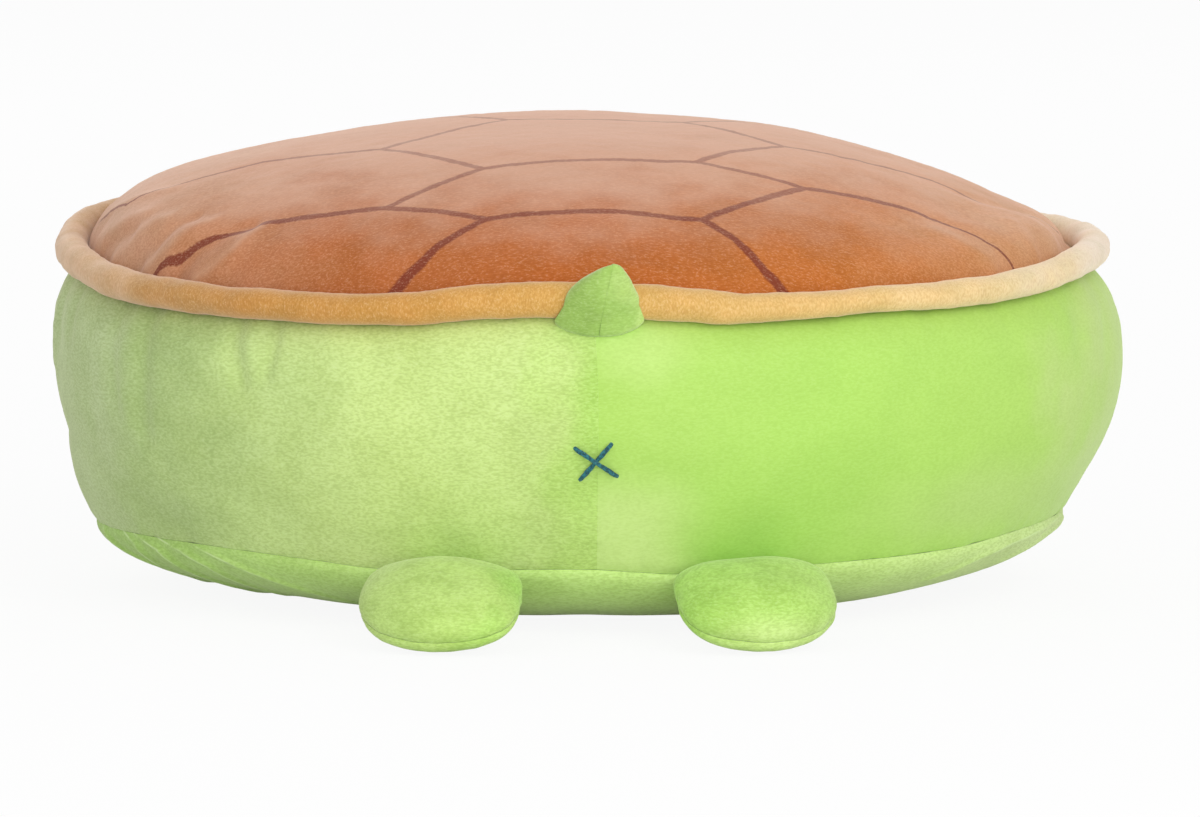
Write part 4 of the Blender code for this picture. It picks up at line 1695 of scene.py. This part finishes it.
@dataclass
class Studio:
    """A white floor, soft lamps and the camera behind the turtle."""

    camera_azimuth: float = math.radians(1.2)
    camera_distance: float = 7.0
    camera_height: float = 0.83
    camera_pitch: float = math.radians(6.151)
    lens: float = 488.4
    sensor: float = 36
    frame_shift: float = 13 / 1200
    floor_size: float = 14.0
    floor_height: float = -0.0004
    floor_grey: float = 0.88
    glow_share: float = 0.92  # how much of the floor's look is plain white
    ambience: float = 0.55
    aim: Triple = (0, 0, 0.1)
    lamps: tuple[tuple[str, Triple, float, float], ...] = (  # a name, a place, a width and a power in watts
        ("key_lamp", (-1.5, 2.4, 1.7), 1.8, 31),
        ("low_lamp", (-0.2, 2.3, 0.30), 1.2, 16),
        ("fill_lamp", (2.1, 1.6, 1.3), 2.2, 9),
        ("front_lamp", (0.2, -2.2, 1.9), 2.4, 16),
    )

    def build(self) -> None:
        """Set up the floor, the world, the lamps and the camera."""
        self.add_floor()
        self.add_world()
        for lamp in self.lamps:
            self.add_lamp(*lamp)
        camera = bpy.data.objects.new("camera", bpy.data.cameras.new("camera"))
        bpy.context.scene.collection.objects.link(camera)
        across, along = math.sin(self.camera_azimuth), math.cos(self.camera_azimuth)
        camera.location = (self.camera_distance * across, self.camera_distance * along, self.camera_height)
        camera.rotation_euler = (math.pi / 2 - self.camera_pitch, 0, math.pi - self.camera_azimuth)
        camera.data.lens = self.lens
        camera.data.sensor_width = self.sensor
        camera.data.shift_x = self.frame_shift
        camera.data.clip_end = 60
        bpy.context.scene.camera = camera
        bpy.context.scene.view_settings.view_transform = "Standard"

    def add_floor(self) -> None:
        """A pale floor that keeps the turtle's shadow."""
        mesh = bmesh.new()
        bmesh.ops.create_grid(mesh, x_segments=1, y_segments=1, size=self.floor_size / 2)
        for vert in mesh.verts:
            vert.co.z = self.floor_height
        floor = add_object("studio_floor", mesh)
        sheet = NodeSheet("studio_floor")
        sheet.feed(sheet.shader, {"Base Color": (self.floor_grey, self.floor_grey, self.floor_grey, 1), "Roughness": 1})
        rays = sheet.add("ShaderNodeLightPath").outputs
        seen = sheet.sum("MAXIMUM", rays["Is Camera Ray"], rays["Is Glossy Ray"])
        seen = sheet.sum("MULTIPLY", sheet.sum("MAXIMUM", seen, rays["Is Transmission Ray"]), self.glow_share)
        glow = sheet.add("ShaderNodeEmission", {"Color": WHITE}).outputs[0]
        mixed = sheet.add("ShaderNodeMixShader", {0: seen, 1: sheet.shader.outputs[0], 2: glow}).outputs[0]
        sheet.feed(sheet.tree.nodes["Material Output"], {"Surface": mixed})
        floor.data.materials.append(sheet.material)

    def add_world(self) -> None:
        """Even light from all round, and plain white where the camera sees it."""
        world = bpy.data.worlds.new("studio")
        world.use_nodes = True
        nodes = Nodes(world.node_tree)
        nodes.tree.nodes.clear()
        rays = nodes.add("ShaderNodeLightPath").outputs
        seen = nodes.sum("MAXIMUM", rays["Is Camera Ray"], rays["Is Glossy Ray"])
        strength = nodes.ranged(seen, 0, 1, self.ambience, 1, kind="LINEAR")
        ground = nodes.add("ShaderNodeBackground", {"Color": WHITE, "Strength": strength}).outputs[0]
        nodes.add("ShaderNodeOutputWorld", {"Surface": ground})
        bpy.context.scene.world = world

    def add_lamp(self, name: str, place: Triple, size: float, power: float) -> None:
        """A large soft lamp that faces the turtle.

        Args:
            name: Its name.
            place: Where it stands.
            size: How wide it is.
            power: Its power, in watts.
        """
        light = bpy.data.lights.new(name, "AREA")
        light.size = size
        light.energy = power
        lamp = bpy.data.objects.new(name, light)
        lamp.location = place
        lamp.rotation_euler = (Vector(self.aim) - Vector(place)).to_track_quat("-Z", "Y").to_euler()
        bpy.context.scene.collection.objects.link(lamp)


# The folds of each panel


BAND_FOLDS = {  # by the arc and the height over the base seam, in millimetres
    Side.LEFT: (
        Crease(((172, 112), (170, 96), (163, 80)), 4.5, -0.0024),
        Crease(((149, 110), (147, 96), (149, 84)), 3.6, -0.0018),
        Crease(((159.8, 112), (158.8, 94)), 4, 0.0014),
        Crease(((230.8, 110), (226.8, 80), (228.8, 50)), 7, -0.0022),
        Crease(((254.8, 108), (250.8, 60)), 7, -0.0020),
        Crease(((134.8, 112), (124.8, 80)), 8, -0.0008),
        Crease(((344, 111), (338, 92), (344, 70)), 5, 0.0012),
        Crease(((312, 111), (306, 88)), 6, -0.0012),
        Crease(((102.8, 112), (96.8, 90)), 6, -0.0006),
        Crease(((70.8, 11), (70.8, 3)), 9, -0.0018),
        Crease(((334.8, 111), (330.8, 84)), 7, -0.0012),
        Crease(((424.8, 111), (428.8, 86)), 8, -0.0011),
        Crease(((524.8, 111), (518.8, 90)), 8, -0.0011),
        Crease(((614.8, 111), (620.8, 92)), 7, -0.0010),
        Crease(((564.8, 4), (570.8, 24)), 9, -0.0014),
    ),
    Side.RIGHT: (
        Crease(((-74.2, 12), (-74.2, 3)), 10, -0.0018),
        Crease(((-277.2, 108), (-263.2, 84)), 7, -0.0012),
        Crease(((-313.2, 108), (-295.2, 80)), 8, -0.0012),
        Crease(((-205.2, 111), (-209.2, 92)), 9, -0.0008),
        Crease(((-395.2, 111), (-399.2, 86)), 8, -0.0012),
        Crease(((-500.2, 111), (-493.2, 88)), 8, -0.0011),
        Crease(((-610.2, 111), (-605.2, 90)), 7, -0.0010),
        Crease(((-555.2, 4), (-561.2, 24)), 9, -0.0014),
    ),
}

BASE_FOLDS = (
    Crease(((286, 130), (266, 99), (255, 86), (250, 62)), 2.9, 0.0022),
    Crease(((255, 130), (244, 118), (243, 99), (245, 85), (247, 60)), 2.9, 0.0022),
    Crease(((245, 130), (222, 116), (217, 98), (213, 78), (208, 52)), 2.9, 0.0024),
    Crease(((222, 130), (203, 119), (191, 102), (186, 79), (180, 56)), 2.9, 0.0022),
    Crease(((197, 130), (177, 116), (158, 99), (142, 84), (126, 60)), 2.9, 0.0020),
    Crease(((-283, 127), (-241, 122), (-213, 117), (-188, 109), (-164, 91)), 4.0, 0.0016),
    Crease(((-297, 120), (-255, 109), (-220, 91)), 4.0, 0.0016),
    Crease(((417, 127), (438, 104), (449, 72)), 6.0, 0.0020),
    Crease(((445, 129), (470, 104), (480, 78)), 6.0, 0.0016),
    Crease(((-416, 127), (-437, 101), (-444, 72)), 6.0, 0.0018),
)

SHELL_FOLDS = (
    Crease(((-144.9, 120.5), (-158, 122), (-171.6, 120.9)), 5.0, 0.0010),
    Crease(((-179.5, 71.9), (-185.4, 85), (-191, 91)), 5.4, 0.0009),
    Crease(((-160, 47), (-187.6, 31), (-199.4, 16)), 5.6, -0.0010),
    Crease(((-147, 104), (-168, 107), (-188, 105)), 6.5, -0.0011),
    Crease(((-187, -80), (-199, -30), (-202, 8), (-200, 30)), 17, -0.0062),
    Crease(((170.6, 128.4), (161.6, 133.9), (152.5, 136.7), (141, 134)), 4.2, 0.0016),
    Crease(((176, 116), (160.6, 123), (144.6, 127.4)), 4.2, -0.0018),
    Crease(((208.8, 35.6), (204, 47.7), (189.5, 68)), 4.0, 0.0015),
    Crease(((204.4, 66.4), (196.8, 74), (179.4, 87)), 4.2, 0.0015),
    Crease(((206.1, 49.7), (193.5, 70)), 3.0, -0.0015),
    Crease(((208, 14), (197, 34), (178.9, 52.5)), 4.0, 0.0013),
    Crease(((190, 95.6), (179, 105), (160.3, 111.4)), 4.2, 0.0015),
    Crease(((198, 83), (185.9, 94.1), (168.1, 100)), 3.0, -0.0015),
    Crease(((-205.9, -40.7), (-189, -46.1)), 4.6, -0.0010),
    Crease(((-184.1, -100.2), (-170, -94.5)), 4.6, -0.0010),
    Crease(((-123.5, -165.5), (-115.2, -153.6)), 4.6, -0.0010),
    Crease(((202.9, -54.3), (187, -51.9)), 4.0, -0.0019),
    Crease(((175.6, -115.7), (160.8, -106.4)), 4.0, -0.0019),
    Crease(((108.4, -174.3), (100.6, -162.1)), 4.0, -0.0018),
    Crease(((15.6, -208.4), (13, -192.3)), 4.0, -0.0016),
)


def main() -> None:
    """Build the turtle and its studio."""
    logging.basicConfig(level=logging.INFO, format="%(message)s")
    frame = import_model()
    joints = {joint["name"]: joint for joint in frame["joints"]}

    form = BodyForm.measured()
    pale_green = PileFinish(
        "pale_green_pile",
        # the lie of the nap, and painted shade: darker and greyer towards the far left end (+X)
        ((-0.01, "#c2e27e"), (0.005, "#c6e384"), (0.03, "#cbe28e"), (0.08, "#d0e691"), (0.150, "#c5dc8f"),
         (0.185, "#b2c983"), (0.22, "#bcce96")),
        patches=(
            Patch((0.0, 0.100), (0.012, 0.034), "#b4dc6e", 0.9),
            Patch((0.013, 0.068), (0.016, 0.012), "#bde078", 0.6),
        ),
    ).build()
    green = PileFinish(
        "green_pile",
        # painted sheen: paler towards the far right end (-X)
        ((-0.22, "#c2dd85"), (-0.19, "#b5dd6c"), (-0.10, "#b1dc6a"), (-0.03, "#b4db6e"), (0.0, "#b3da6c")),
        patches=(
            Patch((-0.010, 0.042), (0.030, 0.026), "#cfe892", 0.9),
            Patch((-0.014, 0.126), (0.022, 0.016), "#cbe88e", 0.5),
            Patch((-0.185, 0.050), (0.06, 0.018), "#c6e08c", 0.5),
        ),
        deep="#c6d2a8", streak_strength=0.14, tip_share=0.05, relief_strength=0.12, sheen_tint="#e8f5cf",
        patch_strength=0.12,
    ).build()
    base_green = PileFinish(
        # painted shade: darker towards the left end (+X), paler towards the right
        "base_pile", ((-0.2, "#cfe69a"), (-0.08, "#cae98c"), (0.08, "#c8e88a"), (0.2, "#acd072")),
        # painted highlights along the crests of the raised base folds
        crest_highlights=CrestHighlights(
            Strokes.raised(BASE_FOLDS), "#d6ecae", 1.1, 0.7, ((1260, 173.33, 0), (-630, -43.33, 0))
        ),
    ).build()
    foot_green = PileFinish(
        "foot_pile",
        ((-0.12, "#b4de70"), (-0.09, "#b9e074"), (-0.045, "#b2dd6c"), (0.02, "#aede66"), (0.05, "#c2e17f"),
         (0.10, "#bfdc80")),
        patches=(Patch((-0.075, 0.006), (0.030, 0.010), "#d0ea94", 0.8),),
        patch_size=0.016, patch_strength=0.5, streak_strength=0.28,
    ).build()
    tail_green = PileFinish(
        # painted shade: the left side (+X) of the tail is darker than the right, which faces the key lamp
        "tail_pile", ((-0.012, "#c0e07c"), (-0.004, "#bedd80"), (0.004, "#abcf6c"), (0.014, "#9fc163")),
        patch_size=0.014, patch_strength=0.3, streak_size=0.0008, streak_strength=0.22, sheen=0.6,
    ).build()
    brown = PrintedPileFinish(
        "shell_pile",
        # painted sheen: paler towards both ends, where the dome is seen at a grazing angle
        ((-0.215, "#dcaa84"), (-0.17, "#d19262"), (-0.11, "#c47434"), (0.0, "#ba672e"), (0.11, "#ba6d3c"),
         (0.17, "#c88c66"), (0.21, "#d0a284")),
        deep="#c8a48e", tip="#e8bea0", streak_strength=0.28, tip_share=0.22, sheen=0.6, sheen_roughness=0.40,
        sheen_tint="#f6ded0", streak_stretch=(0.4, 1.0, 1.0), relief_strength=0.3,
        # painted highlights along the crests of the raised folds on the right
        crest_highlights=CrestHighlights(Strokes.raised([fold for fold in SHELL_FOLDS if fold.line[0][0] > 0]), "#e0b597", 2.1, 0.34),
    ).build()
    tan = PileFinish(
        "rim_pile",
        # painted light: paler cream towards the right end (-X), which faces the key lamp, and a painted sheen at the
        # far left end
        ((-0.225, "#f6e8d2"), (-0.18, "#f4dba8"), (-0.12, "#ecc684"), (-0.05, "#e6b972"), (0.02, "#d8a85c"),
         (0.08, "#d59d52"), (0.16, "#ca9149"), (0.19, "#ca985a"), (0.225, "#ddb68c")),
        deep="#d2b48c", tip="#f6e2c0", patch_size=0.02, streak_strength=0.3, streak_stretch=(1.0, 1.0, 0.5),
        sheen=0.7, sheen_tint="#f8e6dc", tip_share=0.2,
    ).build()
    fibre = FibreFinish().build()
    teal = ThreadFinish("teal_thread", "#0d4550", "#1f7480").build()
    dark_brown = ThreadFinish("brown_thread", "#2c1710", "#4e2e20").build()

    Shell(form, SHELL_FOLDS).build(brown)
    Rim(form).build(tan, fibre)
    SideBand(form, Side.LEFT, BAND_FOLDS[Side.LEFT]).build(pale_green, "pale_green_plush")
    SideBand(form, Side.RIGHT, BAND_FOLDS[Side.RIGHT]).build(green, "green_plush")
    Base(form, BASE_FOLDS).build(base_green)
    BodyFilling(form).build(fibre)
    head = Head(form)
    head.build(green, fibre)
    Face(head).build(dark_brown)
    for end in End:
        for side in Side:
            hinge = joints[f"{end.name.lower()}_{side.name.lower()}_foot_lift"]
            foot = Foot(side, end, Vector(hinge["pos_m"]), Vector(hinge["axis"]))
            foot.settle(form.base_seam_height)
            foot.build(foot_green, fibre)
    Tail(form, Vector(joints["tail_droop"]["pos_m"])).build(tail_green, fibre)
    CrossStitch(form).build(teal)
    Studio().build()


if __name__ == "__main__":
    main()
